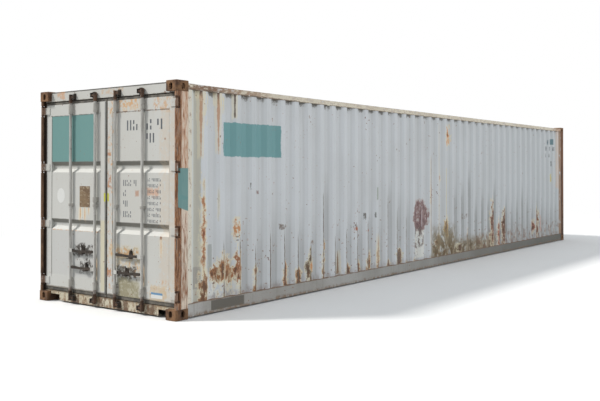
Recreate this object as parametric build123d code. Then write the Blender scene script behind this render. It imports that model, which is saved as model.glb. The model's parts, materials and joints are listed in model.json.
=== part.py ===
from build123d import *
import os
from math import floor, hypot

# A 40 foot general freight container, 8 feet 6 inches high, with two swinging doors.
# Millimetres. X runs along the length from the door end (minus) to the blind front end
# (plus), Y runs across, and Z is up from the underside of the bottom corner castings.
# The left side, as seen from in front of the doors, is at plus Y.

# Overall size of the box over its corner castings
LENGTH = 12192.0
WIDTH = 2438.0
HEIGHT = 2591.0

# Corner castings
CASTING_LENGTH = 178.0
CASTING_WIDTH = 162.0
CASTING_HEIGHT = 118.0
CASTING_OUTER_WALL = 28.0
CASTING_INNER_WALL = 12.0
SLOT_FROM_END = 103.5
SLOT_FROM_SIDE = 89.5
SLOT_LENGTH = 124.5
SLOT_WIDTH = 63.5
SIDE_HOLE_HEIGHT = 76.0
SIDE_HOLE_WIDTH = 51.0
END_HOLE_FROM_SIDE = 89.0
SIDE_HOLE_FROM_END = 102.0
CASTING_CORNER_RADIUS = 14.0
CASTING_EDGE = 5.0

# Steelwork of the box
FRAME_INSET = 4.0
RAIL_CLEAR_OF_GROUND = 16.0
BOTTOM_RAIL_TOP = 167.0
BOTTOM_RAIL_INSET = 8.0
BOTTOM_RAIL_FLANGE = 50.0
BOTTOM_RAIL_LIP = 30.0
BOTTOM_RAIL_STEEL = 4.5
ROOF_BELOW_TOP = 33.0
TOP_RAIL_HEIGHT = 63.0
TOP_RAIL_WIDTH = 60.0
TOP_RAIL_STEEL = 4.0

# Corrugated side walls
WALL_STEEL = 2.0
WALL_DEPTH = 36.0
WALL_INSET = 5.0
WALL_OUTER_FLAT = 72.0
WALL_SLOPE = 68.0
WALL_INNER_FLAT = 70.0
WALL_FIRST_FLAT = 58.0
WALL_FIRST_HOLLOW = 26.0
WALL_LAST_FLAT = 4.0

# Corrugated front wall
FRONT_INSET = 12.0
FRONT_DEPTH = 45.0
FRONT_FLAT = 107.0
FRONT_SLOPE = 18.0
FRONT_EDGE_FLAT = 40.0
FRONT_POST_WIDTH = 100.0
FRONT_POST_LIP = 64.0
FRONT_POST_STEEL = 6.0
FRONT_TOP_RAIL_HEIGHT = 118.0

# Roof with pressed cross ribs
ROOF_STEEL = 2.0
ROOF_RIB_HEIGHT = 20.0
ROOF_RIB_PITCH = 209.0
ROOF_RIB_FOOT = 150.0
ROOF_RIB_TOP = 100.0
ROOF_RIB_END_SLOPE = 40.0
ROOF_EDGE_MARGIN = 85.0
ROOF_END_MARGIN = 130.0
CORNER_PLATE_LENGTH = 105.0
CORNER_PLATE_WIDTH = 270.0
CORNER_PLATE_STEEL = 3.0

# Door posts, with the hooked edge that holds the hinge pins
POST_BOX_START = 62.0
POST_DEPTH = CASTING_LENGTH
POST_INNER_FACE = 49.0
POST_OUTER_STEEL = 6.0
POST_INNER_STEEL = 12.0
PIN_INSET = 23.0
PIN_RADIUS = 10.0
PIN_CLEARANCE = 0.8
HOOK_STEEL = 7.0
HOOK_RETURN = 7.0

# Hinges
HINGE_COUNT = 4
HINGE_FROM_LEAF_BOTTOM = 78.0
HINGE_FROM_LEAF_TOP = 71.0
BLADE_HEIGHT = 85.0
BLADE_STEEL = 10.0
BLADE_REACH = 140.0
EYE_RADIUS = 17.0
LUG_HEIGHT = 16.0
LUG_CLEARANCE = 3.0
LUG_TO_HOOK = 6.0

# Door header and sill
HEADER_HEIGHT = 95.0
HEADER_LIP = 22.0
HEADER_FACE = 56.0
HEADER_DEPTH = 84.0
HEADER_STEEL = 4.0
SILL_FACE = 56.0
SILL_BOTTOM = 20.0
SILL_LEDGE = 130.0
SILL_RISER = 108.0
SILL_BACK = 150.0
SILL_STEEL = 5.0
SILL_CUTOUT_WIDTH = 173.0
SILL_CUTOUT_TOP = 90.0

# Door leaves
LEAF_FACE = 54.0
LEAF_THICKNESS = 50.0
LEAF_EDGE = 70.0
LEAF_HALF_GAP = 18.0
LEAF_ABOVE_SILL = 48.0
LEAF_BELOW_HEADER = 41.0
STILE_WIDTH = 100.0
INNER_STILE_WIDTH = 90.0
TOP_BAR_HEIGHT = 137.0
BOTTOM_BAR_HEIGHT = 153.0
LEAF_STEEL = 3.2
PANEL_SET_BACK = 4.0
PANEL_STEEL = 2.0
TROUGH_TOPS = (1717.0, 1017.0)
TROUGH_UPPER_SLOPE = 50.0
TROUGH_FLAT = 33.0
TROUGH_LOWER_SLOPE = 45.0
TROUGH_DEPTH = 38.0

# Door seals
SEAL_SIDE_CLEARANCE = 7.0
SEAL_TOP_CLEARANCE = 11.0
SEAL_BOTTOM_CLEARANCE = 8.0
SEAL_HALF_GAP = 4.5
SEAL_FRONT = 62.0
SEAL_THICKNESS = 30.0

# Locking rods, as distances from the middle of the doors
ROD_OUTER_Y = 642.0
ROD_INNER_Y = 180.0
ROD_RECESS = 30.0
ROD_RADIUS = 17.0
ROD_STEEL = 4.0
ROD_CLEARANCE = 0.5
CAM_LOW_HEIGHT = 70.0
CAM_BELOW_LEAF = 63.0
CAM_HIGH_HEIGHT = 56.0
CAM_ABOVE_LEAF = 54.0
CAM_RADIUS = 21.0
SOCKET_DEPTH = 48.0
SOCKET_GAP = 0.3
CAM_NOSE_REACH = 60.0
CAM_NOSE_THICKNESS = 24.0
CAM_NOSE_WIDTH = 20.0

# Keepers that the cams turn into
KEEPER_STEEL = 6.0
KEEPER_SIDE_CLEARANCE = 5.0
KEEPER_TIP_CLEARANCE = 8.0
KEEPER_LEDGE_CLEARANCE = 8.0
KEEPER_FRONT = 14.0
KEEPER_PLATE_MARGIN = 14.0

# Brackets that carry the rods
STRAP_RADIUS = 25.0
BRACKET_LIP = 12.0
BRACKET_HALF_WIDTH = 42.0
BRACKET_STEEL = 6.0
TOP_BRACKET_HEIGHT = 134.0
TOP_BRACKET_FROM_EDGE = 2.0
LOW_BRACKET_HEIGHT = 111.0
LOW_BRACKET_FROM_EDGE = 22.0
MIDDLE_GUIDE = (1185.0, 1215.0)
LOCK_BOX = (1240.0, 1300.0)
GUIDE_HALF_WIDTH = 36.0

# Handles
HANDLE_HIGH_Z = 651.0
HANDLE_LOW_Z = 451.0
HANDLE_PIVOT = 42.0
HANDLE_LENGTH = 378.0
HANDLE_RECESS = 17.0
HANDLE_STEEL = 12.0
HANDLE_EYE = 19.0
HANDLE_SHAPE = (
    (0.0, 0.0, 19.0),
    (0.2, 4.0, 14.0),
    (0.42, 6.0, 12.5),
    (0.65, 4.0, 13.5),
    (0.85, 0.0, 16.0),
    (1.0, 0.0, 17.0),
)
HANDLE_PIN_RADIUS = 6.0
HUB_HEIGHT = 44.0
HUB_PLATE = 6.0
HUB_SIDE_CLEARANCE = 3.0
HUB_REACH = 56.0
RETAINER_OFFSET_HIGH = 212.0
RETAINER_OFFSET_LOW = 180.0
RETAINER_WIDTH = 64.0
RETAINER_HEIGHT = 80.0
RETAINER_STEEL = 8.0
RETAINER_CLEARANCE = 6.0
CATCH_WIDTH = 20.0
CATCH_HEIGHT = 22.0
CATCH_STEEL = 10.0

# Floor and underframe
FLOOR_THICKNESS = 28.0
FLOOR_TOP = 169.0
FLOOR_GAP = 3.0
FLOOR_SHEETS = 5
BEAM_FLANGE = 45.0
BEAM_STEEL = 4.0
BEAM_PITCH = 320.0
TUNNEL_LENGTH = 3150.0
TUNNEL_WIDTH = 1029.0
TUNNEL_HEIGHT = 120.0
TUNNEL_STEEL = 4.0
OUTRIGGER_PITCH = 285.0

# Places that follow from the sizes above
FLOOR_BOTTOM = FLOOR_TOP - FLOOR_THICKNESS
BEAM_BOTTOM = RAIL_CLEAR_OF_GROUND + BOTTOM_RAIL_STEEL
TOP_RAIL_TOP = HEIGHT - ROOF_BELOW_TOP
TOP_RAIL_BOTTOM = TOP_RAIL_TOP - TOP_RAIL_HEIGHT
FRONT_TOP_RAIL_BOTTOM = TOP_RAIL_TOP - FRONT_TOP_RAIL_HEIGHT
HEADER_BOTTOM = TOP_RAIL_TOP - HEADER_HEIGHT
HEADER_LIP_TOP = TOP_RAIL_TOP + HEADER_LIP
LEAF_BOTTOM = SILL_LEDGE + LEAF_ABOVE_SILL
LEAF_TOP = HEADER_BOTTOM - LEAF_BELOW_HEADER
PANEL_FACE = LEAF_FACE + PANEL_SET_BACK
HINGE_LOWEST = LEAF_BOTTOM + HINGE_FROM_LEAF_BOTTOM
HINGE_PITCH = (LEAF_TOP - HINGE_FROM_LEAF_TOP - HINGE_LOWEST) / (HINGE_COUNT - 1)
HINGE_HEIGHTS = [HINGE_LOWEST + i * HINGE_PITCH for i in range(HINGE_COUNT)]
CAM_LOW_TOP = LEAF_BOTTOM - CAM_BELOW_LEAF
CAM_LOW = (CAM_LOW_TOP - CAM_LOW_HEIGHT, CAM_LOW_TOP)
CAM_HIGH_BOTTOM = LEAF_TOP + CAM_ABOVE_LEAF
CAM_HIGH = (CAM_HIGH_BOTTOM, CAM_HIGH_BOTTOM + CAM_HIGH_HEIGHT)
TOP_BRACKET_TOP = LEAF_TOP - TOP_BRACKET_FROM_EDGE
TOP_BRACKET = (TOP_BRACKET_TOP - TOP_BRACKET_HEIGHT, TOP_BRACKET_TOP)
LOW_BRACKET_BOTTOM = LEAF_BOTTOM + LOW_BRACKET_FROM_EDGE
LOW_BRACKET = (LOW_BRACKET_BOTTOM, LOW_BRACKET_BOTTOM + LOW_BRACKET_HEIGHT)
RODS = (
    ("outer", ROD_OUTER_Y, -1, HANDLE_HIGH_Z, RETAINER_OFFSET_HIGH),
    ("inner", ROD_INNER_Y, 1, HANDLE_LOW_Z, RETAINER_OFFSET_LOW),
)


def door_x(recess):
    """X of a plane that lies this far in from the door end."""
    return recess - LENGTH / 2


def front_x(recess):
    """X of a plane that lies this far in from the front end."""
    return LENGTH / 2 - recess


def side_y(inset):
    """Y of a plane that lies this far in from the left side."""
    return WIDTH / 2 - inset


def block(x0, x1, y0, y1, z0, z1):
    """A box between two opposite corners, given in any order."""
    size = Box(abs(x1 - x0), abs(y1 - y0), abs(z1 - z0))
    return Pos((x0 + x1) / 2, (y0 + y1) / 2, (z0 + z1) / 2) * size


def prism(points, direction, length):
    """A straight bar whose end is the closed outline through 3-D points."""
    end = make_face(Polyline(*points, close=True))
    return extrude(end, amount=length, dir=direction)


def bar_along_y(outline, half_length):
    """A bar across the box, from an outline of X and Z."""
    points = [(x, -half_length, z) for x, z in outline]
    return prism(points, (0, 1, 0), 2 * half_length)


def bar_along_x(outline, x0, x1):
    """A bar along the box, from an outline of Y and Z."""
    points = [(x0, y, z) for y, z in outline]
    return prism(points, (1, 0, 0), x1 - x0)


def bar_along_z(outline, z0, z1):
    """An upright bar, from an outline of X and Y."""
    points = [(x, y, z0) for x, y in outline]
    return prism(points, (0, 0, 1), z1 - z0)


def folded(path, steel):
    """Closed outline of a folded sheet, laid on the left of an open path."""
    normals = []
    for (ax, ay), (bx, by) in zip(path, path[1:]):
        run = hypot(bx - ax, by - ay)
        normals.append(((ay - by) / run, (bx - ax) / run))
    inner = []
    last = len(path) - 1
    for i, (x, y) in enumerate(path):
        before = normals[max(i - 1, 0)]
        after = normals[min(i, last - 1)]
        share = 1 + before[0] * after[0] + before[1] * after[1]
        mitre_x = (before[0] + after[0]) / share
        mitre_y = (before[1] + after[1]) / share
        inner.append((x + steel * mitre_x, y + steel * mitre_y))
    return list(path) + inner[::-1]


def gather(shapes):
    """One node of separate solids."""
    return Compound([solid for shape in shapes for solid in shape.solids()])


def to_right(shape):
    """The same piece on the other side of the box."""
    return mirror(shape, Plane.XZ)


def casting():
    """The bottom casting at the left of the door end, a hollow block with three holes."""
    x0 = door_x(0)
    x1 = door_x(CASTING_LENGTH)
    y0 = side_y(CASTING_WIDTH)
    y1 = side_y(0)
    body = block(x0, x1, y0, y1, 0, CASTING_HEIGHT)
    outer_edges = body.edges().filter_by(Axis.Z).group_by(Axis.X)[0].sort_by(Axis.Y)
    body = fillet(outer_edges[-1], CASTING_CORNER_RADIUS)
    ground_edges = body.faces().sort_by(Axis.Z)[0].edges()
    body = chamfer(ground_edges, CASTING_EDGE)
    hollow = block(
        x0 + CASTING_OUTER_WALL,
        x1 - CASTING_INNER_WALL,
        y0 + CASTING_INNER_WALL,
        y1 - CASTING_OUTER_WALL,
        CASTING_OUTER_WALL,
        CASTING_HEIGHT - CASTING_INNER_WALL,
    )
    slot_x = door_x(SLOT_FROM_END)
    slot_y = side_y(SLOT_FROM_SIDE)
    slot = SlotOverall(SLOT_LENGTH, SLOT_WIDTH)
    bottom_slot = Pos(slot_x, slot_y, 0) * extrude(slot, CASTING_OUTER_WALL + 1)
    middle = (CASTING_OUTER_WALL + CASTING_HEIGHT - CASTING_INNER_WALL) / 2
    hole = SlotOverall(SIDE_HOLE_HEIGHT, SIDE_HOLE_WIDTH, rotation=90)
    end_plane = Plane(origin=(x0, side_y(END_HOLE_FROM_SIDE), middle), x_dir=(0, 1, 0), z_dir=(1, 0, 0))
    end_hole = extrude(end_plane * hole, CASTING_OUTER_WALL + 1)
    side_plane = Plane(
        origin=(door_x(SIDE_HOLE_FROM_END), y1, middle), x_dir=(1, 0, 0), z_dir=(0, -1, 0)
    )
    side_hole = extrude(side_plane * hole, CASTING_OUTER_WALL + 1)
    return body - hollow - bottom_slot - end_hole - side_hole


def four_castings(at_top):
    """The four castings of the bottom or the top."""
    first = casting()
    if at_top:
        first = mirror(first, Plane.XY.offset(HEIGHT / 2))
    second = to_right(first)
    return gather([first, second, mirror(first, Plane.YZ), mirror(second, Plane.YZ)])


def casting_space(at_top, at_door):
    """The blocks that the left and right castings of one end fill, to be cut from rails."""
    z0 = HEIGHT - CASTING_HEIGHT if at_top else 0
    place = door_x if at_door else front_x
    left = block(place(0), place(CASTING_LENGTH), side_y(CASTING_WIDTH), side_y(0), z0, z0 + CASTING_HEIGHT)
    return left + to_right(left)


def in_lengths(rail, stations):
    """A rail across the box, in separate solids that meet at these distances from the middle."""
    middle = block(door_x(0), front_x(0), -stations[0], stations[0], 0, HEIGHT)
    pieces = [rail & middle]
    for inner, outer in zip(stations, (*stations[1:], side_y(0))):
        band = block(door_x(0), front_x(0), inner, outer, 0, HEIGHT)
        pieces.append(rail & band)
        pieces.append(rail & to_right(band))
    return gather(pieces)


def hinge_notch_half():
    """Half the height of the gap in the hooked edge at a hinge."""
    return BLADE_HEIGHT / 2 + LUG_CLEARANCE + LUG_HEIGHT + LUG_TO_HOOK


def door_post():
    """Left door post: a closed box section with a hooked edge, notched at each hinge."""
    z0 = CASTING_HEIGHT
    height = HEIGHT - 2 * CASTING_HEIGHT
    y_out = side_y(FRAME_INSET)
    y_in = side_y(POST_INNER_FACE)
    box = block(door_x(POST_BOX_START), door_x(POST_DEPTH), y_in, y_out, z0, z0 + height)
    hollow = block(
        door_x(POST_BOX_START + POST_INNER_STEEL),
        door_x(POST_DEPTH - POST_OUTER_STEEL),
        y_in + POST_INNER_STEEL,
        y_out - POST_OUTER_STEEL,
        z0,
        z0 + height,
    )
    reach = PIN_INSET - FRAME_INSET
    bore = reach - HOOK_STEEL
    run = POST_BOX_START - PIN_INSET
    middle = Pos(door_x(PIN_INSET + run / 2), side_y(PIN_INSET))
    pin_centre = Pos(door_x(PIN_INSET), side_y(PIN_INSET))
    hook = pin_centre * Circle(reach) + middle * Rectangle(run, 2 * reach)
    hook -= pin_centre * Circle(bore) + middle * Rectangle(run, 2 * bore)
    opened = run - HOOK_RETURN
    hook -= Pos(door_x(POST_BOX_START - opened / 2), side_y(PIN_INSET + reach)) * Rectangle(
        opened, 2 * (reach - bore) + 1
    )
    post = box - hollow + Pos(0, 0, z0) * extrude(hook, height)
    half = hinge_notch_half()
    for z in HINGE_HEIGHTS:
        post -= block(door_x(0), door_x(POST_BOX_START), y_in, y_out, z - half, z + half)
    return post


def hinge_lugs():
    """Lug pairs welded to the left post, each with its pin."""
    pin_x = door_x(PIN_INSET)
    pin_y = side_y(PIN_INSET)
    neck = POST_BOX_START - PIN_INSET
    plan = Pos(pin_x, pin_y) * Circle(EYE_RADIUS)
    plan += Pos(pin_x + neck / 2, pin_y) * Rectangle(neck, 2 * EYE_RADIUS)
    pieces = []
    for z in HINGE_HEIGHTS:
        low = z - BLADE_HEIGHT / 2 - LUG_CLEARANCE - LUG_HEIGHT
        high = z + BLADE_HEIGHT / 2 + LUG_CLEARANCE
        pin_length = high + LUG_HEIGHT - low + 2 * CASTING_CORNER_RADIUS
        piece = Pos(pin_x, pin_y, z) * Cylinder(PIN_RADIUS, pin_length)
        piece += Pos(0, 0, low) * extrude(plan, LUG_HEIGHT)
        piece += Pos(0, 0, high) * extrude(plan, LUG_HEIGHT)
        pieces.append(piece)
    return pieces


def hinge_blades():
    """Hinge blades on the left leaf, each an eye round the pin and a plate on the stile."""
    pin = Pos(door_x(PIN_INSET), side_y(PIN_INSET))
    back = LEAF_FACE
    front = LEAF_FACE - BLADE_STEEL
    outline = [
        (door_x(PIN_INSET + 5), side_y(PIN_INSET - 16)),
        (door_x(back), side_y(PIN_INSET + 3)),
        (door_x(back), side_y(BLADE_REACH)),
        (door_x(front + 3), side_y(BLADE_REACH)),
        (door_x(front), side_y(BLADE_REACH - 12)),
        (door_x(front), side_y(PIN_INSET + EYE_RADIUS + 8)),
        (door_x(PIN_INSET + 6), side_y(PIN_INSET + 15.5)),
    ]
    plan = make_face(Polyline(*outline, close=True)) + pin * Circle(EYE_RADIUS)
    plan -= pin * Circle(PIN_RADIUS + PIN_CLEARANCE)
    blade = extrude(plan, BLADE_HEIGHT)
    return [Pos(0, 0, z - BLADE_HEIGHT / 2) * blade for z in HINGE_HEIGHTS]


def front_post():
    """Left front post, a sheet folded round the corner."""
    path = [
        (front_x(CASTING_LENGTH), side_y(FRAME_INSET)),
        (front_x(FRAME_INSET), side_y(FRAME_INSET)),
        (front_x(FRAME_INSET), side_y(FRONT_POST_WIDTH)),
        (front_x(FRONT_POST_LIP), side_y(FRONT_POST_WIDTH)),
    ]
    outline = folded(path[::-1], FRONT_POST_STEEL)
    return bar_along_z(outline, CASTING_HEIGHT, HEIGHT - CASTING_HEIGHT)


def door_header():
    """Closed box over the doors, with an upright lip along its front."""
    x0 = door_x(HEADER_FACE)
    x1 = door_x(HEADER_FACE + HEADER_DEPTH)
    half = side_y(POST_INNER_FACE)
    box = block(x0, x1, -half, half, HEADER_BOTTOM, TOP_RAIL_TOP)
    hollow = block(
        x0 + HEADER_STEEL,
        x1 - HEADER_STEEL,
        -half,
        half,
        HEADER_BOTTOM + HEADER_STEEL,
        TOP_RAIL_TOP - HEADER_STEEL,
    )
    lip = block(x0, x0 + HEADER_STEEL, -half, half, TOP_RAIL_TOP, HEADER_LIP_TOP)
    header = box - hollow + lip - casting_space(True, True)
    return in_lengths(header, (side_y(CASTING_WIDTH),))


def door_sill():
    """Folded sill: a face, a ledge under the door seal, and a step up to the floor."""
    path = [
        (door_x(SILL_RISER), SILL_BOTTOM),
        (door_x(SILL_FACE), SILL_BOTTOM),
        (door_x(SILL_FACE), SILL_LEDGE),
        (door_x(SILL_RISER), SILL_LEDGE),
        (door_x(SILL_RISER), FLOOR_TOP),
        (door_x(SILL_BACK), FLOOR_TOP),
    ]
    sill = bar_along_y(folded(path[::-1], SILL_STEEL), side_y(POST_INNER_FACE))
    inner = side_y(CASTING_WIDTH)
    cutout = block(
        door_x(0), door_x(SILL_RISER), inner - SILL_CUTOUT_WIDTH, inner, 0, SILL_CUTOUT_TOP
    )
    sill = sill - casting_space(False, True) - cutout - to_right(cutout)
    return in_lengths(sill, (inner,))


def front_rail(z0, z1, at_top):
    """Box rail across the front end, cut round the castings."""
    half = side_y(FRONT_POST_WIDTH)
    x0 = front_x(FRONT_POST_LIP)
    x1 = front_x(FRAME_INSET)
    box = block(x0, x1, -half, half, z0, z1)
    hollow = block(
        x0 + TOP_RAIL_STEEL,
        x1 - TOP_RAIL_STEEL,
        -half,
        half,
        z0 + TOP_RAIL_STEEL,
        z1 - TOP_RAIL_STEEL,
    )
    return box - hollow - casting_space(at_top, False)


def front_top_rail():
    """Front top rail, with short ends under the castings."""
    rail = front_rail(FRONT_TOP_RAIL_BOTTOM, TOP_RAIL_TOP, True)
    return in_lengths(rail, (side_y(CASTING_WIDTH),))


def front_bottom_rail():
    """Front bottom rail, open in the middle where the tunnel runs in."""
    rail = front_rail(RAIL_CLEAR_OF_GROUND, BOTTOM_RAIL_TOP, False)
    half = TUNNEL_WIDTH / 2
    mouth = block(front_x(CASTING_LENGTH), front_x(0), -half, half, 0, TUNNEL_HEIGHT + TUNNEL_STEEL)
    return in_lengths(rail - mouth, (half, side_y(CASTING_WIDTH)))


def top_rail():
    """Left top rail, a square tube."""
    y1 = side_y(FRAME_INSET)
    y0 = y1 - TOP_RAIL_WIDTH
    half = LENGTH / 2 - CASTING_LENGTH
    tube = block(-half, half, y0, y1, TOP_RAIL_BOTTOM, TOP_RAIL_TOP)
    return tube - block(
        -half,
        half,
        y0 + TOP_RAIL_STEEL,
        y1 - TOP_RAIL_STEEL,
        TOP_RAIL_BOTTOM + TOP_RAIL_STEEL,
        TOP_RAIL_TOP - TOP_RAIL_STEEL,
    )


def bottom_rail():
    """Left bottom rail, a channel with its web outside."""
    outside = side_y(BOTTOM_RAIL_INSET)
    path = [
        (outside - BOTTOM_RAIL_FLANGE, BOTTOM_RAIL_TOP),
        (outside, BOTTOM_RAIL_TOP),
        (outside, RAIL_CLEAR_OF_GROUND),
        (outside - BOTTOM_RAIL_LIP, RAIL_CLEAR_OF_GROUND),
    ]
    half = LENGTH / 2 - CASTING_LENGTH
    return bar_along_x(folded(path[::-1], BOTTOM_RAIL_STEEL), -half, half)


def side_wall():
    """Left wall, one corrugated sheet from post to post."""
    start = door_x(POST_DEPTH)
    length = front_x(CASTING_LENGTH) - start
    out = side_y(WALL_INSET)
    deep = out - WALL_DEPTH
    pitch = WALL_OUTER_FLAT + WALL_INNER_FLAT + 2 * WALL_SLOPE
    first_run = WALL_FIRST_FLAT + WALL_FIRST_HOLLOW + 2 * WALL_SLOPE
    last_least = 2 * WALL_SLOPE + 2 * WALL_LAST_FLAT
    ribs = floor((length - first_run - last_least + pitch - WALL_OUTER_FLAT) / pitch)
    x = start
    path = [(x, out)]
    x += WALL_FIRST_FLAT
    path.append((x, out))
    hollows = [WALL_FIRST_HOLLOW] + [WALL_INNER_FLAT] * (ribs - 1)
    for hollow in hollows:
        path.append((x + WALL_SLOPE, deep))
        path.append((x + WALL_SLOPE + hollow, deep))
        x += hollow + 2 * WALL_SLOPE
        path.append((x, out))
        x += WALL_OUTER_FLAT
        path.append((x, out))
    end = start + length
    path.append((x + WALL_SLOPE, deep))
    path.append((end - WALL_LAST_FLAT - WALL_SLOPE, deep))
    path.append((end - WALL_LAST_FLAT, out))
    path.append((end, out))
    outline = folded(path[::-1], WALL_STEEL)
    return bar_along_z(outline, BOTTOM_RAIL_TOP, TOP_RAIL_BOTTOM)


def front_wall():
    """Corrugated sheet across the front end."""
    half = side_y(FRONT_POST_WIDTH)
    out = front_x(FRONT_INSET)
    deep = out - FRONT_DEPTH
    pitch = 2 * (FRONT_FLAT + FRONT_SLOPE)
    ribs = floor((2 * half - 2 * FRONT_EDGE_FLAT - FRONT_FLAT - 2 * FRONT_SLOPE) / pitch)
    span = ribs * pitch + FRONT_FLAT + 2 * FRONT_SLOPE
    y = -span / 2
    path = [(out, -half), (out, y)]
    for _ in range(ribs + 1):
        path.append((deep, y + FRONT_SLOPE))
        path.append((deep, y + FRONT_SLOPE + FRONT_FLAT))
        path.append((out, y + 2 * FRONT_SLOPE + FRONT_FLAT))
        y += pitch
        path.append((out, y))
    path[-1] = (out, half)
    return bar_along_z(folded(path, WALL_STEEL), BOTTOM_RAIL_TOP, FRONT_TOP_RAIL_BOTTOM)


def roof_rib(height, shrink):
    """One pressed rib as a solid, drawn in by shrink on every side."""
    long_foot = WIDTH - 2 * ROOF_EDGE_MARGIN - 2 * FRAME_INSET
    foot = Rectangle(ROOF_RIB_FOOT - 2 * shrink, long_foot - 2 * shrink)
    crown = Rectangle(
        ROOF_RIB_TOP - 2 * shrink, long_foot - 2 * ROOF_RIB_END_SLOPE - 2 * shrink
    )
    return loft([foot, Pos(0, 0, height) * crown])


def roof():
    """A thin sheet with raised cross ribs, and a tab between the castings at each end."""
    half_x = LENGTH / 2 - CASTING_LENGTH
    half_y = side_y(FRAME_INSET)
    z0 = TOP_RAIL_TOP
    sheet = block(-half_x, half_x, -half_y, half_y, z0, z0 + ROOF_STEEL)
    door_edge = door_x(HEADER_FACE + HEADER_STEEL)
    front_edge = front_x(FRAME_INSET)
    tab_y = side_y(CASTING_WIDTH)
    door_tab = block(door_edge, -half_x, -tab_y, tab_y, z0, z0 + ROOF_STEEL)
    front_tab = block(half_x, front_edge, -tab_y, tab_y, z0, z0 + ROOF_STEEL)
    room = 2 * (half_x - ROOF_END_MARGIN) - ROOF_RIB_FOOT
    count = floor(room / ROOF_RIB_PITCH) + 1
    first = -(count - 1) * ROOF_RIB_PITCH / 2
    outer = roof_rib(ROOF_RIB_HEIGHT, 0)
    inner = roof_rib(ROOF_RIB_HEIGHT, ROOF_STEEL)
    places = [first + i * ROOF_RIB_PITCH for i in range(count)]
    sheet += [Pos(x, 0, z0 + ROOF_STEEL) * outer for x in places]
    sheet -= [Pos(x, 0, z0) * inner for x in places]
    return gather([sheet, door_tab, front_tab])


def roof_corner_plates():
    """Four flat plates that guard the roof beside the top castings."""
    x0 = door_x(CASTING_LENGTH)
    y1 = side_y(FRAME_INSET)
    z0 = TOP_RAIL_TOP + ROOF_STEEL
    plate = block(
        x0, x0 + CORNER_PLATE_LENGTH, y1 - CORNER_PLATE_WIDTH, y1, z0, z0 + CORNER_PLATE_STEEL
    )
    other = mirror(plate, Plane.YZ)
    return gather([plate, to_right(plate), other, to_right(other)])


def beam(x, y0, y1):
    """One channel beam under the floor, from y0 to y1."""
    path = [
        (x + BEAM_FLANGE, FLOOR_BOTTOM),
        (x, FLOOR_BOTTOM),
        (x, BEAM_BOTTOM),
        (x + BEAM_FLANGE, BEAM_BOTTOM),
    ]
    points = [(px, y0, pz) for px, pz in folded(path, BEAM_STEEL)]
    return prism(points, (0, 1, 0), y1 - y0)


def cross_members():
    """All floor beams, whole ones and the short ones beside the tunnel."""
    reach = side_y(BOTTOM_RAIL_INSET + BOTTOM_RAIL_STEEL)
    x0 = door_x(CASTING_LENGTH)
    x1 = front_x(TUNNEL_LENGTH)
    room = x1 - x0 - BEAM_FLANGE
    count = floor(room / BEAM_PITCH) + 1
    first = x1 - BEAM_FLANGE - (count - 1) * BEAM_PITCH
    beams = [beam(first + i * BEAM_PITCH, -reach, reach) for i in range(count)]
    start = x1 + OUTRIGGER_PITCH / 2
    side_count = floor((front_x(CASTING_LENGTH) - BEAM_FLANGE - start) / OUTRIGGER_PITCH) + 1
    edge = TUNNEL_WIDTH / 2 + TUNNEL_STEEL
    for i in range(side_count):
        left = beam(start + i * OUTRIGGER_PITCH, edge, reach)
        beams.append(left)
        beams.append(to_right(left))
    return gather(beams)


def gooseneck_tunnel():
    """Folded tunnel under the front of the floor, with bows that carry the floor."""
    half = TUNNEL_WIDTH / 2
    path = [
        (-half, BEAM_BOTTOM),
        (-half, TUNNEL_HEIGHT),
        (half, TUNNEL_HEIGHT),
        (half, BEAM_BOTTOM),
    ]
    x0 = front_x(TUNNEL_LENGTH)
    x1 = front_x(FRONT_POST_LIP)
    tunnel = bar_along_x(folded(path, TUNNEL_STEEL), x0, x1)
    gap = FLOOR_BOTTOM - TUNNEL_HEIGHT - TUNNEL_STEEL
    z1 = TUNNEL_HEIGHT + TUNNEL_STEEL
    count = floor((x1 - x0 - BEAM_FLANGE) / OUTRIGGER_PITCH) + 1
    for i in range(count):
        x = x0 + i * OUTRIGGER_PITCH
        tunnel += block(x, x + BEAM_FLANGE, -half, half, z1, z1 + gap)
    return in_lengths(tunnel, (half,))


def floor_sheets():
    """Plywood floor sheets in two rows, side by side on the beams."""
    half = side_y(BOTTOM_RAIL_INSET + BOTTOM_RAIL_FLANGE) - FLOOR_GAP
    x0 = door_x(SILL_BACK) + FLOOR_GAP
    x1 = front_x(FRONT_POST_LIP)
    run = (x1 - x0) / FLOOR_SHEETS
    sheets = []
    for i in range(FLOOR_SHEETS):
        x = x0 + i * run
        left = block(x, x + run - FLOOR_GAP, FLOOR_GAP / 2, half, FLOOR_BOTTOM, FLOOR_TOP)
        sheets.append(left)
        sheets.append(to_right(left))
    return gather(sheets)


def leaf_frame():
    """Left door frame: two tube stiles and two channel bars that open inwards."""
    x0 = door_x(LEAF_FACE)
    x1 = door_x(LEAF_FACE + LEAF_THICKNESS)
    outer = side_y(LEAF_EDGE)
    inner = LEAF_HALF_GAP
    steel = LEAF_STEEL
    frame = block(x0, x1, outer - STILE_WIDTH, outer, LEAF_BOTTOM, LEAF_TOP)
    frame += block(x0, x1, inner, inner + INNER_STILE_WIDTH, LEAF_BOTTOM, LEAF_TOP)
    frame -= block(
        x0 + steel, x1 - steel, outer - STILE_WIDTH + steel, outer - steel, LEAF_BOTTOM, LEAF_TOP
    )
    frame -= block(
        x0 + steel, x1 - steel, inner + steel, inner + INNER_STILE_WIDTH - steel, LEAF_BOTTOM, LEAF_TOP
    )
    y0 = inner + INNER_STILE_WIDTH
    y1 = outer - STILE_WIDTH
    bars = ((LEAF_BOTTOM, LEAF_BOTTOM + BOTTOM_BAR_HEIGHT), (LEAF_TOP - TOP_BAR_HEIGHT, LEAF_TOP))
    for z0, z1 in bars:
        frame += block(x0, x1, y0, y1, z0, z1)
        frame -= block(x0 + steel, x1, y0, y1, z0 + steel, z1 - steel)
    return frame


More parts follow.
